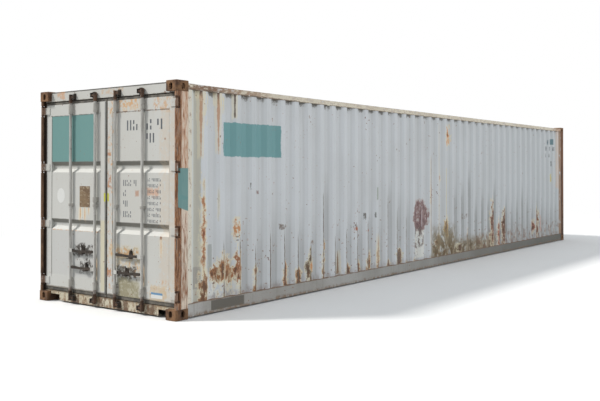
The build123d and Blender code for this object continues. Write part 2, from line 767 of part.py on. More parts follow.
def leaf_panel():
    """Left door panel, a sheet with two troughs pressed across it."""
    face = door_x(PANEL_FACE)
    deep = face + TROUGH_DEPTH
    path = [(face, LEAF_TOP - TOP_BAR_HEIGHT)]
    for top in TROUGH_TOPS:
        z = top
        path.append((face, z))
        z -= TROUGH_UPPER_SLOPE
        path.append((deep, z))
        z -= TROUGH_FLAT
        path.append((deep, z))
        z -= TROUGH_LOWER_SLOPE
        path.append((face, z))
    path.append((face, LEAF_BOTTOM + BOTTOM_BAR_HEIGHT))
    y0 = LEAF_HALF_GAP + INNER_STILE_WIDTH
    y1 = side_y(LEAF_EDGE + STILE_WIDTH)
    points = [(x, y0, z) for x, z in folded(path, PANEL_STEEL)]
    return prism(points, (0, 1, 0), y1 - y0)


def leaf_seal():
    """Rubber seal all round the left leaf."""
    x0 = door_x(SEAL_FRONT)
    x1 = x0 + SEAL_THICKNESS
    outer = side_y(LEAF_EDGE)
    ring = block(
        x0,
        x1,
        SEAL_HALF_GAP,
        side_y(POST_INNER_FACE + SEAL_SIDE_CLEARANCE),
        SILL_LEDGE + SEAL_BOTTOM_CLEARANCE,
        HEADER_BOTTOM - SEAL_TOP_CLEARANCE,
    )
    return ring - block(x0, x1, LEAF_HALF_GAP, outer, LEAF_BOTTOM, LEAF_TOP)


def rod_strap(y, z0, z1, seat, half_width):
    """A bearing strap over a rod, on a plate that sits on the face at recess seat."""
    centre = Pos(door_x(ROD_RECESS), y)
    depth = seat - ROD_RECESS
    plan = centre * Circle(STRAP_RADIUS)
    plan += Pos(door_x(ROD_RECESS + depth / 2), y) * Rectangle(depth, 2 * STRAP_RADIUS)
    plan += Pos(door_x(seat - BRACKET_STEEL / 2), y) * Rectangle(BRACKET_STEEL, 2 * half_width)
    plan -= Pos(door_x(seat + STRAP_RADIUS), y) * Rectangle(2 * STRAP_RADIUS, 4 * STRAP_RADIUS)
    plan -= centre * Circle(ROD_RADIUS + ROD_CLEARANCE)
    return Pos(0, 0, z0) * extrude(plan, z1 - z0)


def tall_bracket(y, span):
    """A long saddle over the rod on a slightly longer plate, at an end of a rod."""
    z0, z1 = span
    piece = rod_strap(y, z0 + BRACKET_LIP, z1 - BRACKET_LIP, LEAF_FACE, BRACKET_HALF_WIDTH)
    plate = block(
        door_x(LEAF_FACE - BRACKET_STEEL),
        door_x(LEAF_FACE),
        y - BRACKET_HALF_WIDTH,
        y + BRACKET_HALF_WIDTH,
        z0,
        z1,
    )
    bore = Pos(door_x(ROD_RECESS), y, (z0 + z1) / 2) * Cylinder(
        ROD_RADIUS + ROD_CLEARANCE, z1 - z0
    )
    return piece + (plate - bore)


def rod_brackets(with_lock_box):
    """All brackets of the left leaf; one leaf has a lock box on its inner rod."""
    pieces = []
    for _, y, _, _, _ in RODS:
        pieces.append(tall_bracket(y, TOP_BRACKET))
        pieces.append(tall_bracket(y, LOW_BRACKET))
        pieces.append(rod_strap(y, *MIDDLE_GUIDE, PANEL_FACE, GUIDE_HALF_WIDTH))
    if with_lock_box:
        pieces.append(rod_strap(ROD_INNER_Y, *LOCK_BOX, PANEL_FACE, BRACKET_HALF_WIDTH))
    return gather(pieces)


def lock_rod(y, turn, handle_z):
    """A locking rod with the fork and pin of its handle."""
    centre = Pos(door_x(ROD_RECESS), y)
    z0 = CAM_LOW[1]
    z1 = CAM_HIGH[0]
    tube = extrude(centre * (Circle(ROD_RADIUS) - Circle(ROD_RADIUS - ROD_STEEL)), z1 - z0)
    rod = Pos(0, 0, z0) * tube
    low = handle_z - HUB_HEIGHT / 2
    collar = centre * (Circle(CAM_RADIUS) - Circle(ROD_RADIUS - ROD_STEEL / 2))
    rod += Pos(0, 0, low) * extrude(collar, HUB_HEIGHT)
    front_plate = HANDLE_RECESS - HUB_SIDE_CLEARANCE - HUB_PLATE
    back_plate = HANDLE_RECESS + HANDLE_STEEL + HUB_SIDE_CLEARANCE
    bore = Pos(door_x(ROD_RECESS), y, handle_z) * Cylinder(ROD_RADIUS - ROD_STEEL / 2, HUB_HEIGHT)
    for recess in (front_plate, back_plate):
        plate = block(
            door_x(recess),
            door_x(recess + HUB_PLATE),
            y,
            y + turn * HUB_REACH,
            low,
            low + HUB_HEIGHT,
        )
        rod += plate - bore
    pin_length = back_plate - front_plate + HUB_PLATE
    pin_middle = door_x((back_plate + front_plate + HUB_PLATE) / 2)
    pin = Pos(pin_middle, y + turn * HANDLE_PIVOT, handle_z) * Rot(0, 90, 0) * Cylinder(
        HANDLE_PIN_RADIUS, pin_length
    )
    return rod + pin


def rod_cams(y, turn):
    """The two forged cams of a rod, each a boss with a nose, and the sockets welded round the rod."""
    x = door_x(ROD_RECESS)
    reach = CAM_NOSE_REACH - CAM_NOSE_WIDTH / 2
    ring = Pos(x, y) * (Circle(CAM_RADIUS) - Circle(ROD_RADIUS))
    low_socket = CAM_LOW[1] + SOCKET_GAP
    high_socket = CAM_HIGH[0] - SOCKET_GAP - SOCKET_DEPTH
    pieces = []
    for (z0, z1), socket_foot in ((CAM_LOW, low_socket), (CAM_HIGH, high_socket)):
        middle = (z0 + z1) / 2
        nose = Pos(x, y + turn * reach / 2) * Rectangle(CAM_NOSE_WIDTH, reach)
        nose += Pos(x, y + turn * reach) * Circle(CAM_NOSE_WIDTH / 2)
        cam = Pos(x, y, middle) * Cylinder(CAM_RADIUS, z1 - z0)
        cam += Pos(0, 0, middle - CAM_NOSE_THICKNESS / 2) * extrude(nose, CAM_NOSE_THICKNESS)
        pieces.append(cam)
        pieces.append(Pos(0, 0, socket_foot) * extrude(ring, SOCKET_DEPTH))
    return gather(pieces)


def keeper(y, turn, span, seat):
    """A pocket of plates for one cam nose, open towards the front."""
    middle = (span[0] + span[1]) / 2
    half = CAM_NOSE_THICKNESS / 2 + KEEPER_LEDGE_CLEARANCE
    end = CAM_NOSE_REACH + KEEPER_TIP_CLEARANCE
    y0 = y + turn * (CAM_RADIUS + KEEPER_SIDE_CLEARANCE)
    y1 = y + turn * (end + KEEPER_STEEL)
    z0 = middle - half - KEEPER_STEEL
    z1 = middle + half + KEEPER_STEEL
    front = door_x(KEEPER_FRONT)
    back = door_x(seat - KEEPER_STEEL)
    body = block(front, door_x(seat), y0, y1, z0, z1)
    pocket = block(front, back, y0, y + turn * end, middle - half, middle + half)
    plate = block(back, door_x(seat), y0, y1, z0 - KEEPER_PLATE_MARGIN, z1 + KEEPER_PLATE_MARGIN)
    return body - pocket + plate


def cam_keepers():
    """All keepers, on the header and on the sill."""
    pieces = []
    for _, y, turn, _, _ in RODS:
        for span, seat in ((CAM_LOW, SILL_FACE), (CAM_HIGH, HEADER_FACE)):
            piece = keeper(y, turn, span, seat)
            pieces.append(piece)
            pieces.append(to_right(piece))
    return gather(pieces)


def handle(y, turn, z):
    """A flat forged handle with an eye, a bent neck and a wide grip."""
    pivot = y + turn * HANDLE_PIVOT
    tip = pivot + turn * HANDLE_LENGTH
    x = door_x(HANDLE_RECESS)
    upper = []
    lower = []
    for share, drop, half_height in HANDLE_SHAPE:
        along = pivot + turn * HANDLE_LENGTH * share
        upper.append((x, along, z - drop + half_height))
        lower.append((x, along, z - drop - half_height))
    edges = [Spline(*upper), Line(upper[-1], lower[-1]), Spline(*lower[::-1]), Line(lower[0], upper[0])]
    bar = extrude(make_face(edges), HANDLE_STEEL, dir=(1, 0, 0))
    middle = x + HANDLE_STEEL / 2
    across = Rot(0, 90, 0)
    _, tip_drop, grip = HANDLE_SHAPE[-1]
    bar += Pos(middle, pivot, z) * across * Cylinder(HANDLE_EYE, HANDLE_STEEL)
    bar += Pos(middle, tip, z - tip_drop) * across * Cylinder(grip, HANDLE_STEEL)
    bore = Cylinder(HANDLE_PIN_RADIUS + PIN_CLEARANCE, HANDLE_STEEL)
    return bar - Pos(middle, pivot, z) * across * bore


def handle_retainers():
    """A shelf, a tapered back plate and a raised catch for each handle of the left leaf."""
    pieces = []
    face = door_x(PANEL_FACE)
    plate_front = face - RETAINER_STEEL
    catch_front = plate_front - CATCH_STEEL
    for _, y, turn, z, offset in RODS:
        middle = y + turn * offset
        half = RETAINER_WIDTH / 2
        shelf_top = z - HANDLE_EYE - RETAINER_CLEARANCE
        shelf_bottom = shelf_top - RETAINER_STEEL
        top = shelf_top + RETAINER_HEIGHT
        outline = [
            (plate_front, middle - half, shelf_bottom),
            (plate_front, middle + half, shelf_bottom),
            (plate_front, middle + half, z),
            (plate_front, middle + CATCH_WIDTH, top),
            (plate_front, middle - CATCH_WIDTH, top),
            (plate_front, middle - half, z),
        ]
        piece = prism(outline, (1, 0, 0), RETAINER_STEEL)
        piece += block(
            door_x(HANDLE_RECESS - HUB_PLATE),
            face,
            middle - half,
            middle + half,
            shelf_bottom,
            shelf_top,
        )
        catch = [
            (catch_front, middle - CATCH_WIDTH / 2, top - CATCH_WIDTH),
            (catch_front, middle + CATCH_WIDTH / 2, top - CATCH_WIDTH),
            (catch_front, middle - turn * CATCH_WIDTH, top + CATCH_HEIGHT),
        ]
        piece += prism(catch, (1, 0, 0), CATCH_STEEL)
        pieces.append(piece)
    return gather(pieces)


def build_box():
    """Every fixed piece, by node name."""
    post = door_post()
    lugs = hinge_lugs()
    corner = front_post()
    upper = top_rail()
    lower = bottom_rail()
    wall = side_wall()
    return {
        "bottom_corner_castings": four_castings(False),
        "top_corner_castings": four_castings(True),
        "left_door_post": post,
        "right_door_post": to_right(post),
        "left_front_post": corner,
        "right_front_post": to_right(corner),
        "door_header": door_header(),
        "door_sill": door_sill(),
        "front_top_rail": front_top_rail(),
        "front_bottom_rail": front_bottom_rail(),
        "left_top_rail": upper,
        "right_top_rail": to_right(upper),
        "left_bottom_rail": lower,
        "right_bottom_rail": to_right(lower),
        "left_side_wall": wall,
        "right_side_wall": to_right(wall),
        "front_wall": front_wall(),
        "roof": roof(),
        "roof_corner_plates": roof_corner_plates(),
        "cross_members": cross_members(),
        "gooseneck_tunnel": gooseneck_tunnel(),
        "floor": floor_sheets(),
        "cam_keepers": cam_keepers(),
        "hinge_lugs": gather(lugs + [to_right(lug) for lug in lugs]),
    }


def build_doors():
    """Every piece that moves with the doors, by node name."""
    left = {
        "door_frame": leaf_frame(),
        "door_panel": leaf_panel(),
        "door_seal": leaf_seal(),
        "door_hinge_blades": gather(hinge_blades()),
        "door_handle_retainers": handle_retainers(),
    }
    for name, y, turn, z, _ in RODS:
        left[name + "_lock_rod"] = lock_rod(y, turn, z)
        left[name + "_rod_cams"] = rod_cams(y, turn)
        left[name + "_handle"] = handle(y, turn, z)
    nodes = {"left_" + name: piece for name, piece in left.items()}
    nodes.update({"right_" + name: to_right(piece) for name, piece in left.items()})
    nodes["left_door_rod_brackets"] = rod_brackets(True)
    nodes["right_door_rod_brackets"] = to_right(rod_brackets(False))
    return nodes


os.makedirs("parts", exist_ok=True)
for node, piece in {**build_box(), **build_doors()}.items():
    export_step(piece, f"parts/{node}.step")
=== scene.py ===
"""Looks of a weathered 40 foot freight container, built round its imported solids.

Metres. X runs from the door end (minus) to the blind end, Y across and Z up.
"""

import json
import logging
import math
from collections.abc import Callable, Sequence
from dataclasses import dataclass
from enum import Enum
from typing import Generic, NamedTuple, Protocol, TypeVar

import bmesh
import bpy
from mathutils import Matrix, Vector

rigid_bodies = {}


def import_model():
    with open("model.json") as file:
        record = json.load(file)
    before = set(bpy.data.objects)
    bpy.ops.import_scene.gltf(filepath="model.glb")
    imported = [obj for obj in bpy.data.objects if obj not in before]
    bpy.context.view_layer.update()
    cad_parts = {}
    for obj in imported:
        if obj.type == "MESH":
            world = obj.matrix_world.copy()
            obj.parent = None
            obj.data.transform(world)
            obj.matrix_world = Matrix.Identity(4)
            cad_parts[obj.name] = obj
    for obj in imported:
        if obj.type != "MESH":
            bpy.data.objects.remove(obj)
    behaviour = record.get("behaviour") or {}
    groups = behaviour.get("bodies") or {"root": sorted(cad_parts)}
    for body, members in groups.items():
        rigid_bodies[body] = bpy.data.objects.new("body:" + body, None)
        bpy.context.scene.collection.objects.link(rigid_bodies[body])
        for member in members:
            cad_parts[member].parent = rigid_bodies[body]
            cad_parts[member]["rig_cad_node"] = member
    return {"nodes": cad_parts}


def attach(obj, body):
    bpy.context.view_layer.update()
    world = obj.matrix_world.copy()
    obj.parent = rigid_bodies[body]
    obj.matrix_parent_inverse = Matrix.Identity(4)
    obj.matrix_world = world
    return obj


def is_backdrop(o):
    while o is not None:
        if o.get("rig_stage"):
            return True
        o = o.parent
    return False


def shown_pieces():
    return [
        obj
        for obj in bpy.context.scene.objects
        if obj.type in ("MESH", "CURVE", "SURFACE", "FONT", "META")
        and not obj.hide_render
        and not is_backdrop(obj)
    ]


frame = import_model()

LOG = logging.getLogger("container")
Colour = tuple[float, float, float]
Point = tuple[float, float, float]
Span = tuple[float, float]
Socket = bpy.types.NodeSocket
Number = Socket | float
Tone = Callable[[int, int, int], Colour]
Value = TypeVar("Value")

DOOR_END = -6.096
LEAF_FACE = DOOR_END + 0.054
PANEL_FACE = DOOR_END + 0.058
WALL_FACE = 1.214
WALL_INNER = 1.178
WALL_FOOT = 0.167
WALL_HEAD = 2.495
WALL_END = 5.918
RIB_PITCH = 0.278
RIB_FLAT = 0.072
RIB_START = -5.698
RAMP_STOPS = 32

# The long wall that the camera sees lies in shade, where a paint shows darker than it is
SHADE = 0.70


def paint(red: int, green: int, blue: int) -> Colour:
    """A colour in linear light, given as it shows on a screen, 0 to 255 a channel."""
    shares = (red / 255, green / 255, blue / 255)
    return tuple(c / 12.92 if c <= 0.04045 else ((c + 0.055) / 1.055) ** 2.4 for c in shares)


def shade(red: int, green: int, blue: int) -> Colour:
    """The paint that shows as a colour on the side in shade."""
    return tuple(min(c / SHADE, 0.92) for c in paint(red, green, blue))


ORANGE_RUST = paint(176, 108, 58)
BROWN_RUST = paint(112, 72, 46)
DARK_RUST = paint(62, 44, 34)
RIM = shade(208, 198, 170)
HEART = shade(74, 54, 40)
# Rust on the ribs' turned-away slopes, made dark enough to stand for their shade too: rust and painted shade
RUN_AND_SHADE = shade(82, 66, 52)
# Painted shadow with dirt just under the top rail
RAIL_SHADE_AND_DIRT = shade(88, 84, 76)


class Axis(Enum):
    """The level direction that runs along a side."""

    X = "x"
    Y = "y"


class Head(Enum):
    """The shape of a small fastener's head."""

    HEX = 6
    ROUND = 12


class Facing(Enum):
    """The turn that points a fastener's head outwards."""

    UP = (0.0, 0.0, 0.0)
    DOOR_END = (0.0, math.pi / 2, 0.0)

    @property
    def spin(self) -> int:
        """Which of the three angles turns a head about its own axis."""
        return 2 if self is Facing.UP else 0


class Stroke(Enum):
    """The plain bars that stand in one place of a stencilled row, as shares of its height."""

    GAP = ()
    FULL = ((-0.5, 0.5),)
    SHORT = ((-0.5, 0.1),)
    PAIR = ((-0.5, -0.12), (0.12, 0.5))
    HIGH = ((-0.1, 0.5),)

    @classmethod
    def for_place(cls, number: int) -> "Stroke":
        """Chooses a form in a fixed mixed order."""
        order = (cls.FULL, cls.PAIR, cls.FULL, cls.SHORT, cls.FULL, cls.PAIR, cls.HIGH, cls.FULL, cls.GAP)
        return order[number % len(order)]


class Nodes:
    """A node tree, with one call that adds a node and wires it."""

    def __init__(self, tree: bpy.types.NodeTree) -> None:
        """Empties the tree."""
        self.nodes, self.links = tree.nodes, tree.links
        self.nodes.clear()

    def add(self, kind: str, inputs: dict, **settings) -> bpy.types.Node:
        """Adds a node.

        Args:
            kind: the node's type.
            inputs: a value or a socket for each input, by place or name.
            settings: the node's own options.

        Returns:
            The new node.
        """
        node = self.nodes.new(kind)
        for key, value in settings.items():
            setattr(node, key, value)
        for key, value in inputs.items():
            if isinstance(value, Socket):
                self.links.new(value, node.inputs[key])
            else:
                node.inputs[key].default_value = value
        return node


class Graph(Nodes):
    """The shader nodes of one finish, with a short call for each kind in use."""

    def __init__(self, name: str) -> None:
        """Starts a material with its place on the object."""
        self.material = bpy.data.materials.new(name)
        self.material.use_nodes = True
        super().__init__(self.material.node_tree)
        given = self.nodes.new("ShaderNodeTexCoord").outputs
        self.place, self.facing = given["Object"], given["Normal"]
        self.x, self.y, self.z = self.add("ShaderNodeSeparateXYZ", {0: self.place}).outputs

    def chance(self, number: Socket) -> Sequence[Socket]:
        """Draws three shares from 0 to 1 for a whole number, always the same ones."""
        drawn = self.add("ShaderNodeTexWhiteNoise", {"W": number}, noise_dimensions="1D").outputs["Color"]
        return self.add("ShaderNodeSeparateColor", {0: drawn}).outputs

    def math(self, operation: str, a: Number, b: Number = 0.0, c: Number = 0.0) -> Socket:
        """One sum of up to three values."""
        return self.add("ShaderNodeMath", {0: a, 1: b, 2: c}, operation=operation).outputs[0]

    def times(self, a: Number, b: Number, more: Number | None = None) -> Socket:
        """A product, with a third value on top of it where one is given."""
        return self.math("MULTIPLY", a, b) if more is None else self.math("MULTIPLY_ADD", a, b, more)

    def plus(self, a: Number, b: Number) -> Socket:
        """Two values together."""
        return self.math("ADD", a, b)

    def minus(self, a: Number, b: Number) -> Socket:
        """The first value less the second."""
        return self.math("SUBTRACT", a, b)

    def apart(self, a: Number, b: Number) -> Socket:
        """How far two values lie apart."""
        return self.math("ABSOLUTE", self.minus(a, b))

    def ramp(self, value: Socket, low: float, high: float, top: float = 1.0) -> Socket:
        """A smooth step from nothing at low to top at high, which may lie below low."""
        inputs = {0: value, 1: low, 2: high, 3: 0.0, 4: top}
        return self.add("ShaderNodeMapRange", inputs, interpolation_type="SMOOTHSTEP").outputs[0]

    def noise(
        self,
        scale: float,
        stretch: Point = (1.0, 1.0, 1.0),
        detail: float = 4.0,
        roughness: float = 0.6,
        shift: float = 0.0,
    ) -> Socket:
        """Cloudy noise about 0.5.

        Args:
            scale: lumps to a metre.
            stretch: a factor on that for each axis.
            detail: how many finer layers there are.
            roughness: how strong these are.
            shift: moves the pattern to another place.

        Returns:
            The noise.
        """
        mapping = {0: self.place, 1: (shift, shift, shift), 3: tuple(scale * s for s in stretch)}
        place = self.add("ShaderNodeMapping", mapping).outputs[0]
        inputs = {0: place, "Scale": 1.0, "Detail": detail, "Roughness": roughness}
        return self.add("ShaderNodeTexNoise", inputs).outputs[0]

    def spread(self, noise: Socket, width: float) -> Socket:
        """Noise turned into a shift about nothing, some tenths of width either way."""
        return self.times(noise, width, -width / 2)

    def mix(self, share: Number, under: Socket | Colour, over: Socket | Colour) -> Socket:
        """Lays one colour over another, where share says how much of the upper one shows."""
        both = {key: c if isinstance(c, Socket) else (*c, 1.0) for key, c in ((6, under), (7, over))}
        return self.add("ShaderNodeMix", {0: share, **both}, data_type="RGBA").outputs[2]

    def either(self, share: Socket, under: Socket, over: Socket) -> Socket:
        """Mixes two values, where share says how much of the second is taken."""
        return self.add("ShaderNodeMix", {0: share, 2: under, 3: over}, data_type="FLOAT").outputs[0]

    def steps(self, place: Socket, rows: Sequence[Colour]) -> list[Socket]:
        """Looks up three shares in a table.

        Args:
            place: the middle of the row that is asked for, as a share of the table.
            rows: the table, whose values are all from 0 to 1.

        Returns:
            The three shares.
        """
        node = self.add("ShaderNodeValToRGB", {0: place})
        table = node.color_ramp
        table.interpolation = "CONSTANT"
        table.elements[0].color = (*rows[0], 1.0)
        table.elements[1].position = 1 / RAMP_STOPS
        table.elements[1].color = (*rows[1], 1.0)
        for number in range(2, len(rows)):
            table.elements.new(number / RAMP_STOPS).color = (*rows[number], 1.0)
        return list(self.add("ShaderNodeSeparateColor", {0: node.outputs[0]}).outputs)

    def turned_to(self, outward: Point) -> Socket:
        """Tells a sheet's outer face, 1, which looks along outward, from its inner one, 0."""
        dot = self.add("ShaderNodeVectorMath", {0: self.facing, 1: outward}, operation="DOT_PRODUCT")
        return self.ramp(dot.outputs["Value"], 0.05, 0.3)

    def finish(
        self, colour: Socket, roughness: Number, height: Socket, depth: float, metallic: Number = 0.0
    ) -> bpy.types.Material:
        """Ends the graph in a shader.

        Args:
            colour: the base colour.
            roughness: how matt it is.
            height: the height of the surface's relief.
            depth: the full height of that relief in metres.
            metallic: the share of bare metal.

        Returns:
            The material.
        """
        bump = self.add("ShaderNodeBump", {"Height": height, "Distance": depth, "Strength": 1.0}).outputs[0]
        inputs = {"Base Color": colour, "Roughness": roughness, "Metallic": metallic, "Normal": bump}
        shader = self.add("ShaderNodeBsdfPrincipled", inputs)
        self.add("ShaderNodeOutputMaterial", {0: shader.outputs[0]})
        return self.material


class Side(NamedTuple):
    """What marks are laid on: a finish's nodes, the place along its side and the noises they share."""

    graph: Graph
    level: Socket
    torn: Socket
    broken: Socket
    wobble: Socket
    ragged: Socket
    height: Socket
    edge: Socket

    @classmethod
    def of(cls, graph: Graph, axis: Axis, grain: Point, scale: float = 11.0) -> "Side":
        """Makes the noises.

        Args:
            graph: the finish's nodes.
            axis: the level direction of the side.
            grain: broken lumps to a metre along each axis.
            scale: torn lumps to a metre.

        Returns:
            The side.
        """
        torn = graph.noise(scale, detail=7.0, roughness=0.72)
        broken = graph.noise(1.0, grain, 6.0, 0.7, 3.7)
        ragged = graph.spread(graph.times(torn, 0.45, graph.times(broken, 0.55)), 13.0)
        wobble = graph.noise(1.0, (3.0, 3.0, 9.0), 3.0)
        height = graph.plus(graph.z, graph.spread(torn, 0.25))
        level = graph.x if axis is Axis.X else graph.y
        return cls(graph, level, torn, broken, wobble, ragged, height, graph.spread(torn, 0.03))


class Mark(Protocol):
    """Anything that can be laid over a finish's colour."""

    def lay(self, side: Side, colour: Socket) -> Socket:
        """Lays the mark over a colour."""


@dataclass(frozen=True)
class Stain:
    """A stain, a worn spot or a painted field at one place of a flat side."""

    along: Span
    up: Span
    colour: Colour
    strength: float = 0.8
    torn: float = 0.03
    soft: float = 0.008
    cover: float = 1.0
    lean: float = 0.0

    @classmethod
    def from_row(cls, tone: Tone, *row: int) -> "Stain":
        """A stain from along, up, colour and any of the other fields in their order."""
        rest = (value / scale for value, scale in zip(row[7:], (100, 1000, 1000, 100, 100)))
        return cls(metres(row[:2]), metres(row[2:4]), tone(*row[4:7]), *rest)

    def reach(self, side: Side) -> Socket:
        """How far outside the stain's straight outline a point lies, in metres.

        Args:
            side: what the stain is laid on.

        Returns:
            The distance, below nothing inside.
        """
        graph = side.graph
        height = graph.times(side.level, self.lean, graph.z) if self.lean else graph.z
        off = []
        for value, (low, high) in ((side.level, self.along), (height, self.up)):
            off.append(graph.minus(graph.apart(value, (low + high) / 2), abs(high - low) / 2))
        return graph.math("MAXIMUM", *off)

    def lay(self, side: Side, colour: Socket) -> Socket:
        """Lays this stain, with a torn edge and only on the covered share of its field.

        Args:
            side: what it is laid on.
            colour: what is there already.

        Returns:
            The colour with the stain.
        """
        graph = side.graph
        width = 4 * self.torn
        edge = graph.times(side.torn, width, self.reach(side))
        share = graph.ramp(edge, width / 2 + self.soft, width / 2 - self.soft, self.strength)
        if self.cover < 1.0:
            middle = 0.5 + (self.cover - 0.5) * 0.3
            share = graph.times(share, graph.ramp(side.broken, middle + 0.05, middle - 0.05))
        return graph.mix(share, colour, self.colour)


@dataclass(frozen=True)
class Blot(Stain):
    """Rust that has broken through: a pale warm rim round a dark ragged heart."""

    spread: float = 0.03
    heart: Colour = HEART
    rim: Colour = RIM

    @classmethod
    def from_row(cls, tone: Tone, *row: int) -> "Blot":
        """A blot from along, up, colour and any of spread, heart and rim."""
        more = dict(zip(("spread", "heart", "rim"), (*metres(row[7:8]), *colours(tone, row[8:]))))
        return cls(metres(row[:2]), metres(row[2:4]), *colours(tone, row[4:7]), **more)

    def reach(self, side: Side) -> Socket:
        """How far outside the rust's oval outline a point lies, in metres.

        Args:
            side: what the rust is laid on.

        Returns:
            The distance, below nothing inside.
        """
        graph = side.graph
        squares: Number = 0.0
        halves = []
        for value, (low, high) in ((side.level, self.along), (graph.z, self.up)):
            half = (high - low) / 2
            share = graph.times(value, 1 / half, -(high + low) / 2 / half)
            squares = graph.times(share, share, squares)
            halves.append(half)
        return graph.times(graph.math("SQRT", squares), min(halves), -min(halves))

    def lay(self, side: Side, colour: Socket) -> Socket:
        """Lays the rim, the stain's own colour and its dark heart.

        Args:
            side: what the rust is laid on.
            colour: what is there already.

        Returns:
            The colour with the rust.
        """
        graph = side.graph
        depth = graph.math("MINIMUM", graph.times(self.reach(side), -1 / self.spread), 0.9)
        depth = graph.plus(depth, side.ragged)
        layers = ((-1.2, -0.4, 0.6, self.rim), (-0.3, 0.3, 0.95, self.colour), (0.6, 1.3, 0.92, self.heart))
        for low, high, share, layer in layers:
            colour = graph.mix(graph.ramp(depth, low, high, share), colour, layer)
        return colour


@dataclass(frozen=True)
class Streak:
    """A run of rusty water down a side, with a paler stain round it; foot widens its lower end."""

    at: float
    up: Span
    width: float
    colour: Colour
    strength: float = 0.85
    foot: float = 0.0
    haloed: float = 0.35

    @classmethod
    def from_row(cls, tone: Tone, *row: int) -> "Streak":
        """A streak from at, up, width, colour and any of the other fields in their order."""
        at, low, high, width = metres(row[:4])
        return cls(at, (low, high), width, tone(*row[4:7]), *(value / 100 for value in row[7:]))

    def lay(self, side: Side, colour: Socket) -> Socket:
        """Lays the run.

        Args:
            side: what it is laid on.
            colour: what is there already.

        Returns:
            The colour with the run.
        """
        graph = side.graph
        low, high = self.up
        width: Number = self.width
        if self.foot:
            slope = -self.foot * self.width / (high - low)
            width = graph.times(graph.z, slope, self.width * (1 - self.foot / 2) - slope * high)
        half = graph.times(side.wobble, width, side.edge)
        inside = graph.minus(half, graph.apart(side.level, self.at))
        fade = min(0.12, (high - low) / 3)
        head = graph.ramp(side.height, high + 0.02, high - fade)
        ends = graph.times(head, graph.ramp(side.height, low - 0.04, low + 0.03))
        for reach, share, layer in ((self.width * 1.4, self.haloed, RIM), (0.0, self.strength, self.colour)):
            shown = graph.ramp(inside, -0.004 - reach, 0.004 - reach, share)
            colour = graph.mix(graph.times(shown, ends), colour, layer)
        return colour


@dataclass(frozen=True)
class Dashes:
    """A row of short plain strokes of paint, as stencilled marks look from far off."""

    along: Span
    up: Span
    pitch: float
    colour: Colour

    @classmethod
    def from_row(cls, tone: Tone, *row: int) -> "Dashes":
        """Dashes from along, up, pitch and colour."""
        return cls(metres(row[:2]), metres(row[2:4]), row[4] / 1000, tone(*row[5:8]))

    def lay(self, side: Side, colour: Socket) -> Socket:
        """Lays the strokes, some left out and all a little worn.

        Args:
            side: what they are laid on.
            colour: what is there already.

        Returns:
            The colour with the strokes.
        """
        graph = side.graph
        cell = graph.math("DIVIDE", graph.minus(side.level, self.along[0]), self.pitch)
        share = graph.math("GREATER_THAN", graph.chance(graph.math("FLOOR", cell))[0], 0.2)
        share = graph.times(share, graph.math("LESS_THAN", graph.math("FRACT", cell), 0.66))
        for value, (low, high) in ((side.level, self.along), (graph.z, self.up)):
            share = graph.times(share, graph.math("GREATER_THAN", value, low))
            share = graph.times(share, graph.math("LESS_THAN", value, high))
        worn = graph.ramp(side.torn, 0.7, 0.4, 0.85)
        return graph.mix(graph.times(share, worn), colour, self.colour)


def metres(row: Sequence[int]) -> tuple[float, ...]:
    """Lengths given in millimetres."""
    return tuple(value / 1000 for value in row)


def colours(tone: Tone, row: Sequence[int]) -> list[Colour]:
    """Colours given as three numbers each."""
    return [tone(*row[start : start + 3]) for start in range(0, len(row), 3)]


def marks(tone: Tone, *rows: tuple) -> tuple[Mark, ...]:
    """Makes the marks of one side from a table.

    Args:
        tone: what turns the colours in the rows, as they show on a screen, into paint.
        rows: for each mark its kind, unless it is a Stain, then whole numbers in the order of that
            kind's from_row, with lengths in millimetres and other shares in per cent.

    Returns:
        The marks.
    """
    full = (row if isinstance(row[0], type) else (Stain, *row) for row in rows)
    return tuple(kind.from_row(tone, *numbers) for kind, *numbers in full)


class RibRust(NamedTuple, Generic[Value]):
    """How one rib of a long wall has rusted, in metres: its line, its blot and the tone, dark to orange."""

    line: Value
    blot: Value
    half: Value
    off: Value
    tone: Value


